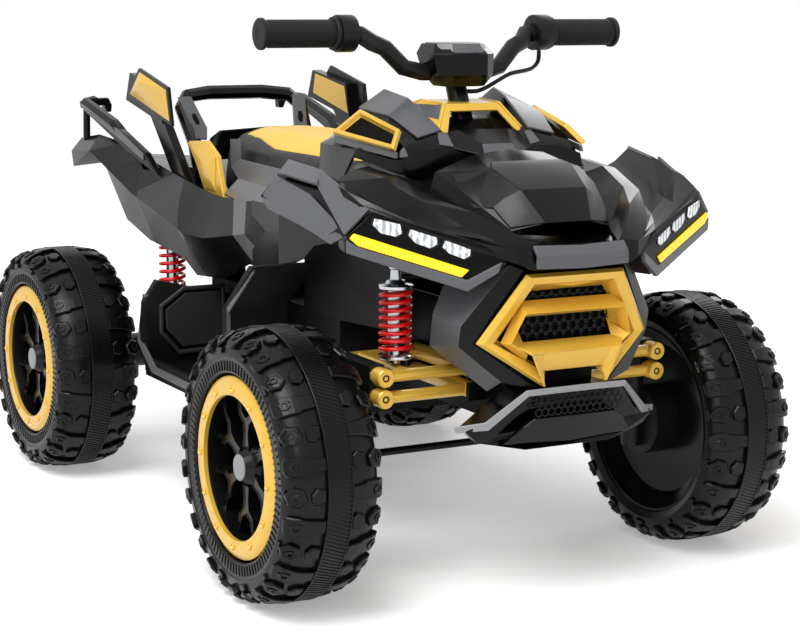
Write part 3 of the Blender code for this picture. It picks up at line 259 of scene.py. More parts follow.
def blended(tree, share, first, second):
    """The colour between two others."""
    return put(tree, "ShaderNodeMixRGB", {"Fac": share, "Color1": first, "Color2": second}).outputs[0]


def surfaced(tree, sockets):
    """End a material's tree in one Principled surface."""
    surface = put(tree, "ShaderNodeBsdfPrincipled", sockets)
    put(tree, "ShaderNodeOutputMaterial", {"Surface": surface.outputs[0]})


def moulded(name, code, roughness, grain, depth, patch=0.05, specular=0.22, metallic=0.0, coat=0.0):
    """A moulded or coated surface: one colour, a grain of that size in metres, and faint duller patches."""
    made, tree = bare(name)
    where = put(tree, "ShaderNodeTexCoord", {}).outputs["Object"]
    fine = noise(tree, where, 1 / grain, 3.0)
    broad = noise(tree, where, 9.0, 4.0)
    rough = ramp(tree, broad, 0.3, 0.7, max(roughness - patch, 0.04), roughness + patch)
    bump = put(tree, "ShaderNodeBump", {"Height": fine, "Strength": 1.0, "Distance": depth})
    colour = linear(code)
    paler = [min(1.0, channel * 1.12 + 0.0005) for channel in colour[:3]] + [1.0]
    surfaced(tree, {
        "Base Color": blended(tree, broad, colour, paler), "Roughness": rough, "Normal": bump.outputs[0],
        "Metallic": metallic, "Specular IOR Level": specular, "Coat Weight": coat, "Coat Roughness": 0.08})
    return made


tub_plastic = moulded("grained_polypropylene", "#060606", 0.5, 0.0011, 0.0001, specular=0.15)
softened("chassis_tub", tub_plastic)
battery_case = moulded("matt_battery_case", "#1b1b1d", 0.55, 0.0009, 0.00008)
cover(frame["nodes"]["battery"], battery_case)

# Front arms: four wishbones of steel tube, powder coated gold, on pins in the tub's nose. Each has a turned
# boss at its outer end with a black button-head bolt in it. Carriers and knuckles are black castings.
gold_paint = moulded("gold_powder_coat", "#e2b544", 0.32, 0.0009, 0.00002, metallic=0.25, coat=0.35)
cast_black = moulded("black_nylon_casting", "#0e0e0f", 0.42, 0.0012, 0.0001)
bolt_black = moulded("black_zinc_bolt", "#17171a", 0.3, 0.0006, 0.00002, metallic=0.8)
full_turn = 2 * math.pi
ALL = (bpy.ops.mesh.select_all, {"action": "SELECT"})
OUTWARD = (bpy.ops.mesh.normals_make_consistent, {"inside": False})


def outline(name, points, fill="NGON"):
    """A flat face through these points, or just its edges."""
    bpy.ops.mesh.primitive_circle_add(vertices=len(points), fill_type=fill)
    piece = bpy.context.object
    piece.name = name
    for vertex, point in zip(piece.data.vertices, points):
        vertex.co = point
    return piece


def spin(steps, dupli=False):
    """The step that sweeps what is selected round the X axis, or repeats it there."""
    return bpy.ops.mesh.spin, {"steps": steps, "dupli": dupli, "angle": full_turn, "center": (0, 0, 0),
                               "axis": (1, 0, 0)}


def spun(name, profile, steps, material):
    """A closed outline of (x, radius) points, spun round the X axis."""
    piece = outline(name, [(x, 0, radius) for x, radius in profile], "NOTHING")
    edit(piece, spin(steps), ALL, weld(), OUTWARD)
    cover(piece, material)
    smooth(piece, 30)
    return piece


def joined(name, pieces):
    """Several pieces made one."""
    only(*pieces)
    if len(pieces) > 1:
        bpy.ops.object.join()
    pieces[0].name = name
    return pieces[0]


ARM_BOSS_X = 0.195
ARM_BOSS_R = 0.0112
ARM_BOSS_IN = 0.0105
TO_FRONT = Matrix.Rotation(-math.pi / 2, 4, "Z")
for side, sign in (("left", 1), ("right", -1)):
    for arm in ("upper_arm", "lower_arm"):
        node = f"{arm}_{side}"
        low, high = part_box(node)
        body = softened(node, gold_paint, 0.001)
        boss_z = high[2] - ARM_BOSS_IN if arm == "upper_arm" else low[2] + ARM_BOSS_IN
        boss = spun("boss", [
            (0.0, 0.0052), (0.0025, 0.0052), (0.0025, ARM_BOSS_R - 0.0012), (0.001, ARM_BOSS_R),
            (-0.015, ARM_BOSS_R), (-0.0165, ARM_BOSS_R - 0.0012), (-0.0165, 0.0052)], 32, gold_paint)
        head = spun("head", [
            (-0.002, 0.0001), (0.0004, 0.0001), (0.0004, 0.0024), (0.0016, 0.0026), (0.0016, 0.0042),
            (-0.002, 0.005)], 24, bolt_black)
        face = Matrix.Translation((sign * ARM_BOSS_X, low[1] + 0.0012, boss_z)) @ TO_FRONT
        for part in (boss, head):
            part.data.transform(face)
        joined(node + "_finished", [body, boss, head])
    softened(f"steering_carrier_{side}", cast_black)
    softened(f"steering_knuckle_{side}", cast_black, 0.001)
softened("tie_rod", bolt_black, 0.0006)

# Dampers: a plated tube over a polished rod, with a turned perch on each, and a red coil spring between.
# Front ones stand on the upper arms and hold the tub's cross beam. Rear ones stand on the swingarm's bar.
plated = moulded("zinc_plated_steel", "#bfc2c5", 0.2, 0.0009, 0.00002, metallic=1.0)
spring_red = moulded("red_powder_coat", "#ea0a0e", 0.25, 0.001, 0.00002, specular=0.4, coat=0.3)
COIL_R = 0.018
WIRE_R = 0.0027
PERCH_R = 0.0212
UPRIGHT = Matrix.Rotation(-math.pi / 2, 4, "Y")
NONE = (bpy.ops.mesh.select_all, {"action": "DESELECT"})


def coil(name, x, y, low, high, turns):
    """A compression spring: a round wire screwed up between its two perches."""
    bpy.ops.mesh.primitive_circle_add(vertices=12, radius=WIRE_R, location=(COIL_R, 0, 0),
                                      rotation=(math.pi / 2, 0, 0))
    piece = bpy.context.object
    piece.name = name
    bpy.ops.object.transform_apply(location=True, rotation=True, scale=True)
    run = high - low - 2 * WIRE_R
    modify(piece, "SCREW", axis="Z", angle=full_turn, screw_offset=run / turns, iterations=turns, steps=28,
           render_steps=28, use_smooth_shade=True, use_merge_vertices=True)
    edit(piece, NONE, (bpy.ops.mesh.select_non_manifold, {}), (bpy.ops.mesh.edge_face_add, {}), ALL, OUTWARD)
    piece.data.transform(Matrix.Translation((x, y, low + WIRE_R)))
    cover(piece, spring_red)
    smooth(piece, 60)
    return piece


# Each pair: its end, place, lower and upper perch, top, turns and how far it closes.
DAMPERS = (("front", 0.16, -0.41, 0.288, 0.372, 0.4, 8, 0.0125),
           ("rear", 0.15, 0.295, 0.246, 0.34, 0.362, 7, 0.0075))
for end, x, y, perch_low, perch_high, top_z, turns, travel in DAMPERS:
    for side, sign in (("left", 1), ("right", -1)):
        post = Matrix.Translation((sign * x, y, 0)) @ UPRIGHT
        rod_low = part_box(f"{end}_damper_rod_{side}")[0][2]
        tube = spun(f"{end}_damper_tube_{side}_finished", [
            (perch_low + 0.02, 0.0052), (perch_low + 0.02, 0.0092), (perch_low + 0.0225, 0.0102),
            (perch_low + 0.026, 0.0102), (perch_low + 0.028, 0.0094), (perch_high - 0.002, 0.0094),
            (perch_high - 0.001, PERCH_R - 0.0012), (perch_high + 0.0002, PERCH_R),
            (perch_high + 0.0034, PERCH_R), (perch_high + 0.0046, PERCH_R - 0.0014),
            (perch_high + 0.0062, 0.0125), (perch_high + 0.0095, 0.0108), (perch_high + 0.0105, 0.0072),
            (top_z - 0.006, 0.0066), (top_z - 0.0045, 0.0085), (top_z, 0.0085), (top_z, 0.001),
            (perch_low + 0.03, 0.001)], 48, plated)
        tube.data.transform(post)
        stand_for(tube, f"{end}_damper_tube_{side}")
        rod = spun(f"{end}_damper_rod_{side}_finished", [
            (rod_low, 0.0006), (rod_low, 0.0058), (rod_low + 0.001, 0.0066), (perch_low - 0.001, 0.0066),
            (perch_low - 0.0005, PERCH_R - 0.0016), (perch_low + 0.0008, PERCH_R - 0.0004),
            (perch_low + 0.0036, PERCH_R - 0.0004), (perch_low + 0.0042, PERCH_R - 0.0016),
            (perch_low + 0.0046, 0.008), (perch_low + 0.011, 0.0074), (perch_low + 0.012, 0.0048),
            (perch_high - 0.024, 0.0048), (perch_high - 0.024, 0.0006)], 48, plated)
        rod.data.transform(post)
        stand_for(rod, f"{end}_damper_rod_{side}")
        bottom = perch_low + 0.0043
        spring = coil(f"{end}_spring_{side}_finished", sign * x, y, bottom, perch_high - 0.0003, turns)
        stand_for(spring, f"{end}_spring_{side}")
        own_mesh(spring)

# Rear swingarm: a welded steel fork on one cross pin, powder coated black, with the axle through its ends.
# The two gearbox housings hang on the axle inboard of the wheels, each with ribs round its cover.
arm_black = moulded("black_powder_coat", "#101011", 0.38, 0.001, 0.00006)
softened("rear_swingarm", arm_black, 0.0014)
for side in ("left", "right"):
    softened(f"rear_gearbox_{side}", cast_black, 0.0014)

# Wheels: a blow-moulded tyre with deep lugs, on a black rim with six forked spokes and a deep inboard dish.
# A gold ring with twelve bolts clamps the outboard bead. The wheel turns on the end of its axle.
WHEEL_STEPS = 96
WHEEL_R = 0.165
TYRE_MID = 0.296
AXLE_Y = 0.37
LUG_H = 0.0058
LUG_GROUPS = 14
BAND_HALF = 0.0155
BAND_RIBS = 200
RIB_SLOPE = 0.42


def raised(height):
    """The step that lifts a flat face off its plane, with walls under it."""
    return bpy.ops.mesh.extrude_region_move, {"TRANSFORM_OT_translate": {"value": height}}


def inset(thickness, depth=0.0):
    """The step that draws a face in by a width, and up by a height."""
    return bpy.ops.mesh.inset, {"thickness": thickness, "depth": depth}


def block(name, corners, height, chamfer, material):
    """A flat outline of (u, s) corners raised off its plane, with bevelled top edges."""
    piece = outline(name, [(u, s, 0) for u, s in corners])
    edit(piece, OUTWARD, raised((0, 0, height - chamfer)), inset(chamfer, chamfer))
    cover(piece, material)
    return piece


def recess(piece, margin, depth):
    """Sink the block's top face, inside a margin."""
    edit(piece, NONE)
    max(piece.data.polygons, key=lambda face: (face.center.z, face.area)).select = True
    edit(piece, inset(margin), inset(depth * 0.4, -depth), chosen=True)


def placed(piece, name, matrix):
    """A copy with its own mesh, its place in the mesh."""
    made = added(name, piece.data.copy())
    made.data.transform(matrix)
    return made


def around(piece, count):
    """Repeat a piece round the X axis."""
    edit(piece, spin(count, True), ALL, weld(1e-6))


def face_out(piece, x):
    """Turn a raised outline to look outboard, that far from the tyre's middle."""
    turn = Matrix(((0, 0, 1, 0), (0, 1, 0, 0), (1, 0, 0, 0), (0, 0, 0, 1)))
    piece.data.transform(Matrix.Translation((x, 0, 0)) @ turn)
    edit(piece, OUTWARD)


# The carcass from the band's edge to the bead, as (x, radius), and the way a lug follows it.
FLANK = [(0.016, 0.1592), (0.03, 0.1582), (0.044, 0.1548), (0.053, 0.1498), (0.0574, 0.143),
         (0.0586, 0.135)]


def on_flank(u):
    """Place and outward normal on the carcass, u metres from the band's edge."""
    for (x0, r0), (x1, r1) in zip(FLANK, FLANK[1:]):
        run = math.hypot(x1 - x0, r1 - r0)
        if u <= run or (x1, r1) == FLANK[-1]:
            share = u / run
            return x0 + (x1 - x0) * share, r0 + (r1 - r0) * share, -(r1 - r0) / run, (x1 - x0) / run
        u -= run


CUT_EVERY = 0.0062
CUTS = 8
FOOT_SUNK = 0.0012


def wrap(piece):
    """Bend a flat lug of (u, s, height) round the tyre's flank."""
    cuts = []
    for step in range(1, CUTS + 1):
        cuts += [ALL, (bpy.ops.mesh.bisect, {"plane_co": (step * CUT_EVERY, 0, 0), "plane_no": (1, 0, 0)})]
    edit(piece, *cuts)
    for vertex in piece.data.vertices:
        u, s, height = vertex.co
        x, radius, nx, nr = on_flank(max(u, 0.0))
        # The foot of a lug is sunk a little, so that no gap opens under it.
        height = height if height > 1e-6 else -FOOT_SUNK
        angle = s / WHEEL_R
        radius += height * nr
        vertex.co = (x + height * nx, -radius * math.sin(angle), radius * math.cos(angle))


def ngon(u, s, radius, corners=6, turn=0.0):
    """The outline of an even-sided figure round (u, s)."""
    angles = [turn + i * full_turn / corners for i in range(corners)]
    return [(u + radius * math.cos(angle), s + radius * math.sin(angle)) for angle in angles]


tyre_plastic = moulded("blow_moulded_polyethylene", "#060606", 0.3, 0.0014, 0.00006, specular=0.22)
rim_plastic = moulded("gloss_black_abs", "#0b0b0c", 0.22, 0.0016, 0.00002)
cap_paint = moulded("satin_grey_cap", "#8d9093", 0.34, 0.001, 0.00003)

half_way = full_turn * WHEEL_R / LUG_GROUPS / 2
PLATE = [(0.001, -0.006), (0.008, -0.011), (0.0165, -0.0085), (0.0185, 0.002), (0.012, 0.01),
         (0.001, 0.0075)]
TOOTH = [(0.047, -0.009), (0.0535, -0.007), (0.0535, 0.007), (0.047, 0.009)]
lugs = []
for side in (1, -1):
    bar = block("bar", [
        (0.0, -0.007), (0.015, -0.009), (0.02, -0.0118), (0.04, -0.0122), (0.0455, -0.0098),
        (0.047, -0.004), (0.047, 0.008), (0.043, 0.0122), (0.03, 0.0122), (0.024, 0.0096),
        (0.0, 0.0074)], LUG_H, 0.0012, tyre_plastic)
    boss = block("boss", ngon(0.033, 0.0, 0.0066, turn=0.3), LUG_H + 0.0012, 0.0006, tyre_plastic)
    recess(boss, 0.0016, 0.0018)
    shoulder = block("shoulder", ngon(0.0345, half_way, 0.0128, turn=0.2), LUG_H, 0.0016, tyre_plastic)
    recess(shoulder, 0.0032, 0.0006)
    pin = block("pin", ngon(0.0345, half_way, 0.0052), LUG_H + 0.001, 0.0006, tyre_plastic)
    recess(pin, 0.0014, 0.0018)
    plate = block("plate", [(u, half_way + s) for u, s in PLATE], LUG_H * 0.85, 0.0016, tyre_plastic)
    tooth = block("tooth", [(u, half_way + s) for u, s in TOOTH], LUG_H * 0.55, 0.001, tyre_plastic)
    group = [bar, boss, shoulder, pin, plate, tooth]
    for piece in group:
        wrap(piece)
    group = joined("lug_group", group)
    around(group, LUG_GROUPS)
    if side < 0:
        # The other flank is turned half round, so the pattern runs the same way and its faces stay outward.
        group.data.transform(Matrix.Rotation(math.pi, 4, "Z") @ Matrix.Rotation(math.pi / LUG_GROUPS, 4, "X"))
    lugs.append(group)

rib = block("rib", [(-BAND_HALF + 0.001, -0.0013), (BAND_HALF - 0.001, -0.0013), (BAND_HALF - 0.001, 0.0013),
                    (-BAND_HALF + 0.001, 0.0013)], 0.0012, 0.0004, tyre_plastic)
for vertex in rib.data.vertices:
    x, s, height = vertex.co
    angle = (s + RIB_SLOPE * x) / WHEEL_R
    radius = WHEEL_R - 0.0015 + height
    vertex.co = (x, -radius * math.sin(angle), radius * math.cos(angle))
around(rib, BAND_RIBS)
lugs.append(rib)

SERRATIONS = 96
serration = block("serration", [(0.115, -0.0014), (0.127, -0.0014), (0.127, 0.0014), (0.115, 0.0014)],
                  0.0014, 0.0005, tyre_plastic)
face_out(serration, 0.0574)
around(serration, SERRATIONS)
lugs.append(serration)

OUTER_WALL = [(0.0592, 0.1335), (0.0592, 0.1322), (0.0582, 0.1312), (0.0578, 0.129), (0.0576, 0.115),
              (0.056, 0.1125), (0.05, 0.1103)]
INNER_WALL = [(-0.03, 0.1103), (-0.05, 0.12), (-0.0555, 0.1236), (-0.0578, 0.129), (-0.0592, 0.1322)]
CROWN = [(-0.016, 0.1592), (-0.0158, 0.1646), (-0.0152, 0.165), (-0.0142, 0.165), (-0.0136, 0.1636),
         (0.0136, 0.1636), (0.0142, 0.165), (0.0152, 0.165), (0.0158, 0.1646)]
flank_in = [(-x, radius) for x, radius in reversed(FLANK)]
carcass = spun("carcass", INNER_WALL + flank_in[:-1] + CROWN + FLANK + OUTER_WALL, WHEEL_STEPS, tyre_plastic)
tyre = joined("tyre", [carcass] + lugs)

rim = spun("rim", [
    (0.049, 0.0084), (0.049, 0.016), (0.0405, 0.0215), (0.037, 0.025), (0.03, 0.0285),
    (-0.027, 0.03), (-0.029, 0.033), (-0.0295, 0.084), (-0.027, 0.0875), (0.048, 0.088),
    (0.052, 0.0892), (0.052, 0.109), (0.05, 0.1098), (-0.03, 0.1098), (-0.052, 0.1216),
    (-0.0535, 0.1218), (-0.0537, 0.1196), (-0.048, 0.113), (-0.0352, 0.101), (-0.0332, 0.0985),
    (-0.033, 0.0084)], WHEEL_STEPS, rim_plastic)
cap = spun("cap", [
    (0.0488, 0.0084), (0.05, 0.0084), (0.0512, 0.0), (0.0518, 0.0), (0.0515, 0.009), (0.0505, 0.015),
    (0.0496, 0.0158), (0.0488, 0.0158)], 48, cap_paint)
fork = [(0.023, 0.0085), (0.04, 0.006), (0.052, 0.0085), (0.06, 0.019), (0.072, 0.0215),
        (0.087, 0.033), (0.0905, 0.025), (0.0745, 0.014), (0.064, 0.0105)]
spokes = block("spokes", fork + [(0.058, 0.0)] + [(u, -s) for u, s in reversed(fork)], 0.014, 0.0016,
               rim_plastic)
SPOKE_X = 0.029
SPOKES = 6
face_out(spokes, SPOKE_X)
around(spokes, SPOKES)
rim = joined("rim", [rim, cap, spokes])

ring = spun("ring", [
    (0.0523, 0.0862), (0.0572, 0.0862), (0.058, 0.0872), (0.058, 0.1005), (0.0574, 0.103),
    (0.054, 0.1085), (0.0523, 0.1092)], WHEEL_STEPS, gold_paint)
BOLTS = 12
bolt = block("bolt", ngon(0.0945, 0.0, 0.0046, corners=12), 0.0019, 0.0006, gold_paint)
recess(bolt, 0.0014, 0.0016)
face_out(bolt, 0.0579)
around(bolt, BOLTS)
ring = joined("ring", [ring, bolt])

for end, y in (("front", -AXLE_Y), ("rear", AXLE_Y)):
    for side, sign in (("left", 1), ("right", -1)):
        place = Matrix.Translation((sign * TYRE_MID, y, WHEEL_R))
        if sign < 0:
            place = place @ Matrix.Rotation(math.pi, 4, "Z")
        for piece, node in ((tyre, "tyre"), (rim, "wheel"), (ring, "bead_ring")):
            stand_for(placed(piece, f"{end}_{node}_{side}_finished", place), f"{end}_{node}_{side}")
for pattern in (tyre, rim, ring):
    bpy.data.objects.remove(pattern)

# Front body: one gloss black moulding with the hood, its raised scoop panel, the ridges and the fenders.
# Flat facets are moulded into the scoop and the fenders, and the panel gap under the scoop is open.
gloss_black = moulded("gloss_black_plastic", "#040405", 0.2, 0.0016, 0.00003, specular=0.2)
# A grey that stands in for the lamps' sheen on the gloss black plastic: every piece in it is a painted
# highlight.
painted_sheen_grey = moulded("painted_sheen_on_black_plastic", "#545558", 0.3, 0.0014, 0.00004, specular=0.5)
# A dead black without sheen, put in gaps, holes and sunk floors where there is only shade: painted shade.
painted_shade_black = moulded("painted_shade_black_plastic", "#020202", 0.6, 0.0014, 0.00004, specular=0.08)
# A light grey for the bumper's top band and ends: a painted highlight.
painted_highlight_grey = moulded("painted_highlight_edge", "#8a8b8e", 0.34, 0.0014, 0.00004, specular=0.5)
FACET_DEGREES = 11
softened("front_body", gloss_black, 0.0014, FACET_DEGREES)


def lettered(words, *points):
    """Flat faces, one for each word that spells its corners: A is the first point, B the second."""
    return [[points[ord(letter) - ord("A")] for letter in word] for word in words.split()]


def sheet_of(face, side, hub):
    """One flat face on a side of the car, its outer side away from the hub."""
    sheet = outline("sheet", [(side * x, y, z) for x, y, z in face])
    sheet.data.update()
    outer = sheet.data.polygons[0]
    if outer.normal.dot(outer.center - Vector((side * hub[0], hub[1], hub[2]))) < 0:
        edit(sheet, (bpy.ops.mesh.flip_normals, {}))
    return sheet


CREASE_DEGREES = 9


def facets(name, faces, hub, thickness, material, offset=-1.0, bevel=0.0007, body="chassis"):
    """Flat faces on the left and their mirror image, joined where they meet, as one skin with rounded edges.
    The hub is a point behind them, which tells their outer side."""
    piece = joined(name, [sheet_of(face, side, hub) for side in (1, -1) for face in faces])
    edit(piece, weld(2e-4))
    modify(piece, "SOLIDIFY", thickness=thickness, offset=offset, use_even_offset=True)
    rounded(piece, bevel, CREASE_DEGREES)
    cover(piece, material)
    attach(piece, body)
    return piece


HOOD_HUB = (0.0, -0.4, 0.3)
CREASE = [(.057, -.452, .513), (.0447, -.4999, .4905), (.0315, -.5315, .4556)]
facets("scoop_panel", lettered("ABCD DCEF FEGH EIJKG CLIE LMJI",
    (0, -.438, .5185), (.049, -.438, .518), CREASE[0], (0, -.452, .5135), CREASE[1], (0, -.4999, .491),
    CREASE[2], (0, -.532, .456), (.0622, -.4925, .4815), (.0767, -.4898, .4709), (.0682, -.5149, .4499),
    (.0923, -.4237, .5027), (.0906, -.4708, .4679)),
       HOOD_HUB, 0.004, gloss_black, offset=0.0, bevel=0.0009)
# The lip band is painted grey as a highlight.
facets("lip_band", lettered("ABCD DCEF",
    (0, -.559, .433), (.0629, -.5565, .4352), (.063, -.5668, .424), (0, -.5669, .4225),
    (.0635, -.5668, .409), (0, -.5669, .4065)),
       HOOD_HUB, 0.004, painted_sheen_grey, bevel=0.0009)
# A black sheet in the gap under the scoop: painted shade.
facets("nose_back", [
    [(0, -.535, .425), (.09, -.52, .425), (.09, -.52, .392), (0, -.535, .392)]],
       (0, -.4, .4), 0.002, painted_shade_black)
# The fender plates and skirts are painted grey as highlights where the gloss black faces the lamps.
facets("fender_plates", [
    [(.2477, -.3014, .5164), (.2361, -.3681, .5091), (.2544, -.3894, .4955), (.2683, -.3167, .5027)],
    [(.2409, -.3776, .5102), (.2316, -.475, .4748), (.2569, -.4632, .4464), (.2508, -.3822, .4946)]],
       (.18, -.38, .42), 0.004, painted_sheen_grey, offset=0.2)
facets("fender_skirts", lettered("ABCDEFG BHIJC",
    (.2724, -.3161, .5008), (.261, -.3812, .4853), (.2671, -.4023, .4425), (.2718, -.3751, .4492),
    (.2828, -.3152, .4617), (.2835, -.3028, .4703), (.2818, -.3016, .478), (.2555, -.4316, .4607),
    (.2547, -.455, .4424), (.2617, -.4358, .4329)),
       (.18, -.38, .42), 0.0032, painted_sheen_grey)
facets("fender_liners", lettered("ABCD DCEF FEGHIJK",
    (.165, -.0166, .435), (.165, -.02, .3464), (.166, -.0808, .3531), (.166, -.0808, .435),
    (.169, -.11, .356), (.169, -.11, .435), (.166, -.1346, .3616), (.16, -.165, .3744), (.16, -.195, .3945),
    (.16, -.24, .4049), (.16, -.24, .435)),
       (.05, -.12, .4), 0.003, gloss_black)

# Headlamps: a smoked housing on each side with three white lamps over a yellow light strip, all of them lit.
# Each is one clear moulding pushed into a black housing. A bar is screwed on under it, painted grey as a
# highlight.
LAMP_OUT = Vector((0.46228, -0.88617, -0.03154))


def lit(name, code, edge, strength, across):
    """A lens that glows, with moulded flutes across it: its light falls to the edge colour between them."""
    made, tree = bare(name)
    where = put(tree, "ShaderNodeTexCoord", {}).outputs["Object"]
    flutes = put(tree, "ShaderNodeTexWave",
                 {"Vector": where, "Scale": across, "Distortion": 2.0, "Detail": 2.0})
    spots = put(tree, "ShaderNodeTexVoronoi", {"Vector": where, "Scale": 150.0})
    pattern = arith(tree, "MULTIPLY", flutes.outputs["Fac"], spots.outputs["Distance"])
    colour = blended(tree, ramp(tree, pattern, 0.0, 0.5), linear(code), linear(edge))
    surfaced(tree, {
        "Base Color": colour, "Emission Color": colour, "Emission Strength": strength, "Roughness": 0.12})
    return made


white_light = lit("lit_white_lens", "#f2f4f6", "#9da2a9", 0.3, 45.0)
yellow_light = lit("lit_yellow_lens", "#ffe21a", "#e8bc00", 0.55, 90.0)
lens_dark = moulded("smoked_lens", "#030304", 0.12, 0.003, 0.00001, patch=0.02, specular=0.1)


def on_lamp(points, lift):
    """Points on the lamp's face, lifted off it."""
    return [tuple(Vector(point) + LAMP_OUT * lift) for point in points]


LAMP_HUB = (.12, -.4, .42)
RIM_SCALE = 1.16
LEDS = (
    [(.2261, -.4768, .4662), (.2002, -.4901, .4598), (.1982, -.4907, .4494), (.204, -.4876, .4455),
     (.219, -.4799, .4492), (.2276, -.4758, .4586)],
    [(.19, -.4952, .4542), (.1631, -.5089, .4449), (.162, -.5092, .4373), (.1694, -.5052, .4325),
     (.1838, -.4979, .4381), (.1915, -.4942, .4466)],
    [(.1547, -.5132, .4421), (.1285, -.5265, .4328), (.1291, -.5259, .4242), (.1348, -.5228, .4204),
     (.15, -.5151, .4269), (.1569, -.5117, .4336)])
STRIP = [(.2465, -.4655, .449), (.1294, -.5252, .408), (.1366, -.5211, .3993), (.242, -.4674, .4347),
         (.251, -.463, .4432)]
HOUSING = [(.2539, -.4615, .4432), (.2271, -.4765, .4719), (.1254, -.5284, .4405), (.0895, -.5464, .4198),
           (.1307, -.5241, .3964)]
BAR = [(.2538, -.4614, .4413), (.242, -.4673, .4338), (.1307, -.5241, .3964), (.0962, -.5428, .4178),
       (.0991, -.5409, .4053), (.1303, -.5238, .383), (.2535, -.4611, .4261)]
lamp_body = moulded("satin_black_lamp_body", "#0c0c0d", 0.34, 0.0012, 0.00004)
for side in ("left", "right"):
    softened(f"headlamp_{side}", lamp_body, 0.001)
facets("headlamp_covers", [on_lamp(HOUSING, 0.0046)], LAMP_HUB, 0.004, lens_dark, bevel=0.001)
rims = []
for led in LEDS:
    middle = sum(map(Vector, led), Vector()) / len(led)
    rims.append(on_lamp([middle + (Vector(corner) - middle) * RIM_SCALE for corner in led], 0.0056))
facets("headlamp_rims", rims, LAMP_HUB, 0.002, lamp_body, bevel=0.0006)
facets("headlamp_lenses", [on_lamp(led, 0.0066) for led in LEDS], LAMP_HUB, 0.002, white_light, bevel=0.0008)
facets("light_strips", [on_lamp(STRIP, 0.0075)], LAMP_HUB, 0.003, yellow_light, bevel=0.0012)
facets("headlamp_bars", [on_lamp(BAR, 0.0068)], LAMP_HUB, 0.006, painted_sheen_grey, bevel=0.0012)

# Nose shroud: a faceted black fascia round the grille, moulded in the same plastic as the hood.
# It is clipped to the tub's nose, and its side facets are painted grey as highlights.
facets("nose_shroud", lettered("ABCDE EDFG",
    (.07, -.548, .406), (.083, -.54, .412), (.133, -.515, .34), (.133, -.51, .3155), (.1215, -.523, .3205),
    (.09, -.537, .2745), (.046, -.551, .264)),
       (.05, -.4, .34), 0.003, gloss_black)
facets("nose_shroud_sides", lettered("ABCD DCEF FEGHI",
    (.083, -.54, .412), (.1244, -.46, .3797), (.1385, -.46, .3473), (.133, -.515, .34), (.1423, -.46, .309),
    (.133, -.51, .3155), (.1198, -.468, .296), (.0868, -.5, .2568), (.09, -.537, .2745)),
       (.05, -.42, .34), 0.0028, painted_sheen_grey)

# Grille: a gold-painted moulding of two hexagons, the inner one made of the slats and two side pieces.
# The lower slat has a tall face with a fang at each end, and a black honeycomb stands behind.
RIM_OUT = [(.0677, -.55, .4015), (.1195, -.5263, .3205), (.0436, -.5535, .2681)]
RIM_TOP = [(.064, -.556, .3975), (.112, -.533, .3205), (.044, -.558, .272)]
RIM_IN = [(.056, -.55, .388), (.099, -.533, .3205), (.0395, -.55, .285)]
BACK = -0.527
facets("grille_rim", lettered("ABCD DCEF FEGH BIJC CJKE EKLG IMNJ JNOK KOPL",
    (0, RIM_OUT[0][1], RIM_OUT[0][2]), RIM_OUT[0], RIM_TOP[0], (0, RIM_TOP[0][1], RIM_TOP[0][2]), RIM_IN[0],
    (0, RIM_IN[0][1], RIM_IN[0][2]), (.052, BACK, .38), (0, BACK, .38), RIM_OUT[1], RIM_TOP[1], RIM_IN[1],
    (.093, BACK, .3205), RIM_OUT[2], RIM_TOP[2], RIM_IN[2], (.036, BACK, .288)),
       (.02, -.4, .33), 0.0022, gold_paint, bevel=0.0009)
facets("grille_slats", lettered("ABCD DCEF BGHC CHIE GJKH LMNO OPQR PNSTQ",
    (0, -.533, .368), (.064, -.533, .368), (.07, -.556, .356), (0, -.556, .356), (.064, -.54, .35),
    (0, -.54, .35), (.0905, -.533, .3205), (.0835, -.547, .3205), (.078, -.535, .322), (.06, -.54, .296),
    (.062, -.548, .306), (0, -.536, .32), (.08, -.536, .32), (.062, -.56, .31), (0, -.56, .31),
    (.048, -.56, .31), (.042, -.55, .286), (0, -.55, .286), (.044, -.558, .269), (.041, -.556, .269)),
       (.02, -.4, .33), 0.0022, gold_paint, bevel=0.0008)
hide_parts("grille_frame")


# Rows of hexagons stand this many cells apart.
ROW_PITCH = 0.866
SHEET_T = 0.002


def honeycomb(name, low, high, y, cell, wall, material):
    """A sheet of hexagonal holes: one thick ring, copied over the field. Its ends are (half width, z)."""
    bpy.ops.mesh.primitive_circle_add(vertices=6, radius=cell / math.sqrt(3), fill_type="NGON",
                                      rotation=(math.pi / 2, 0, 0))
    ring = bpy.context.object
    bpy.ops.object.transform_apply(location=True, rotation=True, scale=True)
    edit(ring, inset(wall / 2), (bpy.ops.mesh.delete, {"type": "FACE"}))
    modify(ring, "SOLIDIFY", thickness=SHEET_T)
    cells = []
    point_up = Matrix.Rotation(math.pi / 6, 4, "Y")
    pitch = cell * ROW_PITCH
    for row in range(int((high[1] - low[1]) / pitch) + 1):
        z = low[1] + row * pitch
        t = (z - low[1]) / (high[1] - low[1])
        half = low[0] + (high[0] - low[0]) * t
        for column in range(int(half / cell) * 2 + 1):
            x = (column - int(half / cell)) * cell + (row % 2) * cell / 2
            if abs(x) <= half:
                cells.append(placed(ring, "cell", Matrix.Translation((x, y, z)) @ point_up))
    bpy.data.objects.remove(ring)
    piece = joined(name, cells)
    edit(piece, OUTWARD)
    cover(piece, material)
    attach(piece, "chassis")
    return piece


mesh_black = moulded("gloss_black_honeycomb", "#151517", 0.25, 0.0012, 0.00003)
# The frame's mesh behind the honeycomb is painted shade black.
softened("grille_mesh", painted_shade_black, 0.0004)
honeycomb("grille_honeycomb", (0.084, 0.29), (0.06, 0.384), -0.5285, 0.0125, 0.0026, mesh_black)
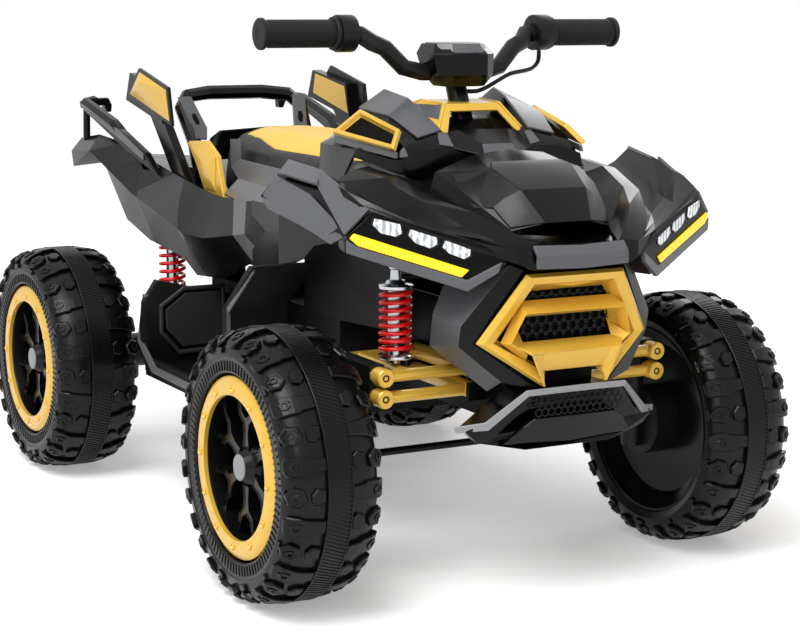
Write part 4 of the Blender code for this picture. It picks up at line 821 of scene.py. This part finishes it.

# Bumper: a black box section under the grille. A light grey band along its top and down both ends is a
# painted highlight. A honeycomb shows over its raised lower face. The box is screwed to the tub's nose.
softened("front_bumper", gloss_black, 0.0016)
facets("bumper_band", lettered("ABCD BEFGHC",
    (0, -.562, .269), (.069, -.56, .268), (.068, -.5625, .261), (0, -.5645, .262), (.1134, -.54, .23),
    (.142, -.518, .223), (.14, -.52, .216), (.11, -.543, .221)),
       (.03, -.45, .23), 0.004, painted_highlight_grey, bevel=0.0009)
facets("bumper_face", [
    [(0, -.564, .233), (.056, -.56, .233), (.07, -.556, .223), (.09, -.544, .202),
     (0, -.548, .199)]],
       (.03, -.45, .22), 0.005, gloss_black, bevel=0.0012)
honeycomb("bumper_honeycomb", (0.062, 0.24), (0.054, 0.258), -0.5625, 0.009, 0.002, mesh_black)

# Cowl: a gloss black cover between hood and seat, with a gold-rimmed vent in the block on each side.
# It is one moulding, screwed down through the tub. The plates on its blocks and the sills under the vents are
# painted grey as highlights, and the vents' sunk floors are painted shade.
softened("cowl", gloss_black, 0.001, FACET_DEGREES)
COWL_HUB = (.04, -.27, .45)


def framed(name, corners, hub, rim, height, depth, outer, floor_material):
    """A frame round an opening: a flat outline whose middle is sunk, on both sides of the car."""
    made = []
    for side in (1, -1):
        piece = sheet_of(corners, side, hub)
        cover(piece, outer)
        piece.data.materials.append(floor_material)
        edit(piece, raised(piece.data.polygons[0].normal * height), inset(rim * 0.25, rim * 0.2),
             inset(rim * 0.75), inset(depth * 0.35, -depth))
        for polygon in piece.data.polygons:
            if polygon.select:
                polygon.material_index = 1
        made.append(piece)
    piece = joined(name, made)
    rounded(piece, 0.0007, 12)
    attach(piece, "chassis")
    return piece


framed("vent_frames", [
    (.1235, -.2558, .5681), (.1173, -.3441, .5496), (.1346, -.3609, .5274), (.1552, -.2416, .5397)],
       COWL_HUB, 0.005, 0.006, 0.0065, gold_paint, painted_shade_black)
facets("cowl_plates", lettered("ABCD BEFC",
    (.08, -.232, .5935), (.07, -.277, .5845), (.1105, -.3, .5655), (.1185, -.236, .5715),
    (.063, -.345, .55), (.0985, -.35, .542)),
       COWL_HUB, 0.003, painted_sheen_grey, offset=0.2)
facets("vent_sills", [
    [(.1552, -.2416, .5397), (.1346, -.3609, .5274), (.1362, -.3625, .52), (.157, -.24, .531)]],
       COWL_HUB, 0.004, painted_sheen_grey)

# Dash arch: a gold-painted arch round the foot of the column, open in front, with a grey pane in each side.
# It is clipped to the cowl, over a stepped gloss black mouth.
facets("dash_arch", lettered("ABCD ABEF BGHE",
    (0, -.313, .58), (.0383, -.313, .58), (.0415, -.26, .5825), (0, -.26, .5825), (.0345, -.319, .5715),
    (0, -.319, .5715), (.0613, -.3378, .5467), (.05, -.34, .547)),
       (0, -.29, .54), 0.003, gold_paint, bevel=0.0008)
# The panes in the arch's sides are painted grey as highlights.
framed("dash_sides", [
    (.0383, -.313, .58), (.0613, -.3378, .5467), (.073, -.262, .574), (.0415, -.26, .5825)],
       (0, -.29, .54), 0.004, 0.0016, 0.0014, gold_paint, painted_sheen_grey)
facets("dash_mouth", lettered("ABCDE EDFG DCHIF",
    (0, -.3, .56), (.048, -.3, .56), (.05, -.338, .548), (.036, -.34, .55), (0, -.34, .55),
    (.0215, -.374, .535), (0, -.374, .535), (.056, -.364, .53), (.026, -.388, .522)),
       (0, -.34, .48), 0.003, gloss_black)
# The steps in the mouth are painted grey as highlights.
facets("dash_steps", [
    [(0, -.374, .5352), (.0215, -.374, .5352), (.026, -.389, .5205), (0, -.389, .5205)],
    [(.068, -.343, .549), (.056, -.349, .547), (.056, -.365, .532), (.0725, -.359, .5345)]],
       (0, -.34, .45), 0.0034, painted_sheen_grey)
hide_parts("dash_trim")

# Rear body: one gloss black moulding with the seat deck, rear fenders, skirts, wings and rails.
# Each wing carries a gold pyramid outside and a flat gold plate inside. Gold panels clip in beside the seat.
rear_skin = softened("rear_body", gloss_black, 0.0016, FACET_DEGREES)
# A darker grey: for the hexagons on the mud walls, and as a painted dim sheen on one fold of each skirt.
wall_grey_and_painted_sheen = moulded("wall_grey_and_painted_sheen_plastic", "#2a2a2c", 0.42, 0.0012, 0.00008, specular=0.35)
for side in ("left", "right"):
    softened(f"side_panel_{side}", gold_paint, 0.0012, FACET_DEGREES)
WING_CAP = ((.385, .593), (.273, .57), (.259, .514), (.429, .549))
facets("wing_caps", [[(.1652, y, z) for y, z in WING_CAP]], (.1, .36, .55), 0.006, gloss_black,
       bevel=0.0012)
facets("wing_pyramids", lettered("EDC ECB EBA EAD", (.166, .3788, .5875), (.166, .279, .5663),
                                 (.166, .266, .521), (.166, .419, .552), (.173, .362, .574)),
       (.1, .36, .55), 0.0016, gold_paint)
facets("wing_linings", [
    [(.1472, .413, .579), (.1472, .314, .564), (.1472, .301, .523), (.1472, .42, .548)]],
       (.2, .36, .55), 0.002, gold_paint)
# The folds of each side skirt, as (y, z) at its top and foot, and the painted light between them: 0 gloss
# black,
# 1 a dim painted sheen, 2 a brighter painted highlight.
SEAMS = (((.3233, .4292), (.2884, .3501)), ((.2048, .4234), (.1567, .335)), ((.1275, .4296), (.0626, .3184)),
         ((.0479, .4265), (-.0157, .3434)), ((.0091, .4269), (-.0315, .3675)))
SKIRT_PAINTED_LIGHT = (0, 1, 0, 0, 2, 0)
SKIRT_X = 0.14
SKIRT_Z = 0.445
for (top_y, top_z), (low_y, low_z) in SEAMS:
    edit(rear_skin, NONE)
    for polygon in rear_skin.data.polygons:
        polygon.select = abs(polygon.center.x) > SKIRT_X and polygon.center.z < SKIRT_Z
    fold = {"plane_co": (0, top_y, top_z), "plane_no": (0, top_z - low_z, low_y - top_y)}
    edit(rear_skin, (bpy.ops.mesh.bisect, fold), chosen=True)
rear_skin.data.materials.append(wall_grey_and_painted_sheen)
rear_skin.data.materials.append(painted_sheen_grey)
for polygon in rear_skin.data.polygons:
    x, y, z = polygon.center
    passed = sum(y < low_y + (top_y - low_y) * (z - low_z) / (top_z - low_z)
                 for (top_y, top_z), (low_y, low_z) in SEAMS)
    if abs(x) > SKIRT_X and z < SKIRT_Z:
        polygon.material_index = SKIRT_PAINTED_LIGHT[passed]
# The deck's sides are painted grey as highlights.
facets("deck_sides", lettered("ABCD CEFGD GFHIJ",
    (.1, .1953, .4987), (.102, .1567, .5018), (.104, .1525, .4738), (.11, .1701, .4611), (.105, -.09, .47),
    (.12, -.09, .442), (.12, .1245, .4488), (.154, -.09, .424), (.152, .0385, .4245), (.148, .1101, .43)),
       (.05, .05, .4), 0.003, painted_sheen_grey)
facets("deck_tail", lettered("ABCD BEFC GHIJ",
    (0, .268, .51), (.084, .268, .506), (.086, .3, .492), (0, .3, .496), (.096, .268, .46), (.098, .3, .45),
    (0, .27, .509), (.0835, .27, .505), (.095, .27, .461), (0, .27, .464)),
       (0, .28, .42), 0.004, gloss_black, bevel=0.003)
PANEL_RIDGE = (.153, .164, .464)
PANEL_RIM = [(.1475, .24, .492), (.1475, .18, .497), (.1475, .143, .479), (.1475, .143, .43),
             (.1475, .178, .431), (.1475, .202, .456)]
facets("panel_facets", [[PANEL_RIDGE, PANEL_RIM[i - 1], PANEL_RIM[i]] for i in range(6)],
       (.1, .18, .46), 0.002, gold_paint)
facets("rail_blades", [
    [(.193, .556, .535), (.1905, .395, .4985), (.186, .315, .472), (.18, .278, .44),
     (.183, .315, .451), (.191, .375, .47), (.195, .545, .52)]],
       (.1, .42, .47), 0.012, gloss_black, bevel=0.002)
facets("rail_highlights", [
    [(.195, .556, .534), (.192, .395, .4975), (.187, .315, .47), (.187, .317, .46),
     (.193, .38, .482), (.1965, .55, .524)]], (.1, .42, .47), 0.003, painted_sheen_grey, bevel=0.001)
facets("rail_hooks", [
    [(.1958, .56, .5331), (.1836, .56, .5375), (.1521, .56, .5385), (.1463, .56, .5274),
     (.1475, .56, .5158), (.1558, .56, .516), (.16, .56, .527), (.194, .56, .522)]],
       (.17, .45, .525), 0.016, gloss_black, bevel=0.0018)

# Backrest: a black grab bar on two posts, moulded in one with them. Each post has a plate painted grey as a
# highlight, with an oblong hole in it that a black sheet paints as shade, and is screwed to the rear body.
softened("backrest_bar", gloss_black, 0.0016, FACET_DEGREES)
facets("post_plates", [
    [(.1075, .369, .55), (.086, .369, .55), (.0733, .337, .5042), (.0778, .327, .488),
     (.096, .327, .489), (.0961, .337, .5018)]], (.09, .45, .5), 0.004, painted_sheen_grey, bevel=0.001)
facets("post_holes", [
    [(.0925, .3505, .525), (.087, .3505, .525), (.0835, .3435, .514), (.0845, .3405, .51),
     (.0895, .3405, .51), (.093, .3465, .519)]], (.09, .45, .5), 0.001, painted_shade_black, bevel=0.0003)

# Seat: a foam pad under black vinyl, with a gold vinyl panel sewn into its top and a seam round the panel.
# Its cover is drawn over the pad and stapled under the base.
SEAT_VOXEL = 0.0055
SEAT_CAP = 0.003
SEAT_SHRINK = 0.99
SEAT_HELD = 0.016
CLOTH_PRESSURE = 4.0
CLOTH_FRAMES = 20
# The gold panel: its half width at two places as (y, width), where it ends and how far down it goes.
PANEL_FROM, PANEL_TO = (0.075, 0.079), (0.205, 0.064)
PANEL_END_Y = 0.215
PANEL_FOOT_Z = 0.4915
STITCH_W = 0.0006
SEAM_W = 0.0025
SEAM_DEPTH = 0.0012
vinyl, tree = bare("black_and_gold_vinyl")
where = put(tree, "ShaderNodeTexCoord", {}).outputs["Object"]
axes = put(tree, "ShaderNodeSeparateXYZ", {"Vector": where})
half_width = ramp(tree, axes.outputs["Y"], PANEL_FROM[0], PANEL_TO[0], PANEL_FROM[1], PANEL_TO[1])
inward = arith(tree, "SUBTRACT", half_width, arith(tree, "ABSOLUTE", axes.outputs["X"]))
nearest = arith(tree, "MINIMUM", inward, arith(tree, "SUBTRACT", PANEL_END_Y, axes.outputs["Y"]))
inside = arith(tree, "MINIMUM", nearest, arith(tree, "SUBTRACT", axes.outputs["Z"], PANEL_FOOT_Z))
panel = ramp(tree, inside, 0.0, STITCH_W)
groove = ramp(tree, arith(tree, "ABSOLUTE", inside), 0.0, SEAM_W)
leather = put(tree, "ShaderNodeTexVoronoi", {"Vector": where, "Scale": 650.0}, feature="SMOOTH_F1")
pores = put(tree, "ShaderNodeBump",
            {"Height": leather.outputs["Distance"], "Strength": 0.5, "Distance": 0.00018})
seam = put(tree, "ShaderNodeBump", {"Height": groove, "Normal": pores.outputs[0], "Strength": 1.0,
                                    "Distance": SEAM_DEPTH})
broad = noise(tree, where, 14.0, 3.0)
black = blended(tree, broad, linear("#0a0a0b"), linear("#101011"))
gold = blended(tree, broad, linear("#e9bd45"), linear("#f2cd60"))
surfaced(tree, {
    "Base Color": blended(tree, panel, black, gold), "Roughness": 0.42, "Specular IOR Level": 0.4,
    "Normal": seam.outputs[0]})
pad = added("seat_cushion", frame["nodes"]["seat"].data.copy())
cover(pad, vinyl)
low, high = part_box("seat")
middle = Vector([(a + b) / 2 for a, b in zip(low, high)])
for vertex in pad.data.vertices:
    vertex.co = middle + (vertex.co - middle) * SEAT_SHRINK
edit(pad, weld())
modify(pad, "REMESH", mode="VOXEL", voxel_size=SEAT_VOXEL, use_smooth_shade=True)
unblown = [vertex.co.copy() for vertex in pad.data.vertices]
held = pad.vertex_groups.new(name="held")
held.add([v.index for v in pad.data.vertices if v.co.z < low[2] + SEAT_HELD], 1.0, "REPLACE")
cloth = pad.modifiers.new("cloth", "CLOTH")
cloth.settings.vertex_group_mass = "held"
cloth.settings.use_pressure = True
cloth.settings.uniform_pressure_force = CLOTH_PRESSURE
cloth.settings.effector_weights.gravity = 0.0
cloth.point_cache.frame_start = 1
cloth.point_cache.frame_end = CLOTH_FRAMES
for number in range(1, CLOTH_FRAMES + 1):
    bpy.context.scene.frame_set(number)
only(pad)
bpy.ops.object.modifier_apply(modifier="cloth")
bpy.context.scene.frame_set(1)
for vertex, start in zip(pad.data.vertices, unblown):
    moved = vertex.co - start
    if moved.length > SEAT_CAP:
        vertex.co = start + moved * (SEAT_CAP / moved.length)
modify(pad, "SMOOTH", factor=0.5, iterations=1)
modify(pad, "SUBSURF", levels=1, render_levels=1)
for vertex in pad.data.vertices:
    vertex.co = [min(max(value, a), b) for value, a, b in zip(vertex.co, low, high)]
smooth(pad, 60)
stand_for(pad, "seat")

# Footboards and mud walls belong to the tub. A framed hexagon stands on each rear wall, with a sunk floor of
# painted shade. A light grey edge, a painted highlight, runs round the board's outer side and up the front
# wall.
HEXAGON = [(.2197, .2626), (.1893, .285), (.129, .285), (.129, .209), (.1941, .2074), (.2186, .2353)]
HEX_FRAME = [(.229, .27), (.193, .2945), (.127, .2945), (.127, .1985), (.2, .196), (.229, .23)]
framed("wall_frames", [(x, .1572, z) for x, z in HEX_FRAME], (.18, .25, .24), 0.005, 0.004, 0.004,
       wall_grey_and_painted_sheen, painted_shade_black)
facets("wall_hexagons", [[(x, .1535, z) for x, z in HEXAGON]], (.18, .25, .24), 0.004, wall_grey_and_painted_sheen,
       bevel=0.0012)
facets("board_edges", lettered("ABCD DCEF FEGH",
    (.244, .16, .2849), (.247, .174, .2849), (.256, .174, .2179), (.253, .16, .2179), (.253, .128, .179),
    (.2515, .118, .189), (.253, -.06, .177), (.2515, -.06, .188)),
       (.18, .1, .24), 0.003, painted_sheen_grey, bevel=0.0008)
facets("wall_edges", lettered("ABCD DEFG",
    (.2115, -.1225, .361), (.2115, -.124, .354), (.214, -.047, .288), (.216, -.047, .296),
    (.2095, -.047, .288), (.2095, -.047, .2), (.216, -.047, .2)),
       (.18, .02, .3), 0.003, painted_sheen_grey, bevel=0.0006)

# Handlebar: a bent steel tube in a clamp on the column, with rubber grips, switch pods and the console pod.
# The console is an eight-sided barrel with a raised lid, and a gold horn button stands on the left pod.
softened("handlebar", cast_black, 0.0005, 50)
rubber = moulded("grip_rubber", "#0a0a0a", 0.62, 0.0008, 0.00012, specular=0.3)
GRIP_STEP = 0.0042
bore = 0.0112
for side, sign in (("left", 1), ("right", -1)):
    low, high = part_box(f"grip_{side}")
    near, far = (low[0], high[0]) if sign > 0 else (-high[0], -low[0])
    flange = (high[2] - low[2]) / 2
    grip_r = flange - 0.004
    profile = [(0.0, bore), (0.0, flange - 0.0012), (0.0012, flange), (0.0048, flange),
               (0.006, flange - 0.0012), (0.0064, grip_r)]
    run = far - near
    x = 0.01
    while x < run - 0.012:
        profile += [(x, grip_r), (x + 0.0006, grip_r + 0.0008), (x + 0.0024, grip_r + 0.0008),
                    (x + 0.003, grip_r)]
        x += GRIP_STEP
    profile += [(run - 0.0064, grip_r), (run - 0.006, grip_r + 0.002), (run - 0.005, grip_r + 0.003),
                (run - 0.0012, grip_r + 0.003), (run, grip_r + 0.0015), (run, 0.008),
                (run - 0.0008, 0.007), (run - 0.0008, 0.0001), (run - 0.005, 0.0001), (run - 0.005, bore)]
    grip = spun(f"grip_{side}_finished", profile, 40, rubber)
    y, z = (low[1] + high[1]) / 2, (low[2] + high[2]) / 2
    turn = Matrix.Identity(4) if sign > 0 else Matrix.Rotation(math.pi, 4, "Z")
    grip.data.transform(Matrix.Translation((sign * near, y, z)) @ turn)
    stand_for(grip, f"grip_{side}")
    softened(f"switch_pod_{side}", cast_black, 0.0018, 40)
softened("horn_button", gold_paint, 0.0008)
softened("console_pod", gloss_black, 0.0016, FACET_DEGREES)
cable_skin = moulded("black_cable_sheath", "#0b0b0b", 0.45, 0.001, 0.00004)
softened("handlebar_cable", cable_skin, 0.0003, 70)
# The console's lid is painted grey as a highlight.
facets("console_lid", lettered("ABCDE ABFG BCHF",
    (0, -.301, .6535), (.02, -.296, .6535), (.033, -.282, .6535), (.033, -.25, .6535), (0, -.24, .6535),
    (.023, -.303, .642), (0, -.3075, .642), (.0415, -.288, .642)),
       (0, -.27, .62), 0.003, painted_sheen_grey, bevel=0.0009, body="steering")

# Pedal: a black plastic wedge on the right footboard, moulded in one piece and hinged at its heel.
# It can't be seen in the photograph, so its form is plain.
softened("accelerator_pedal", cast_black, 0.0008)
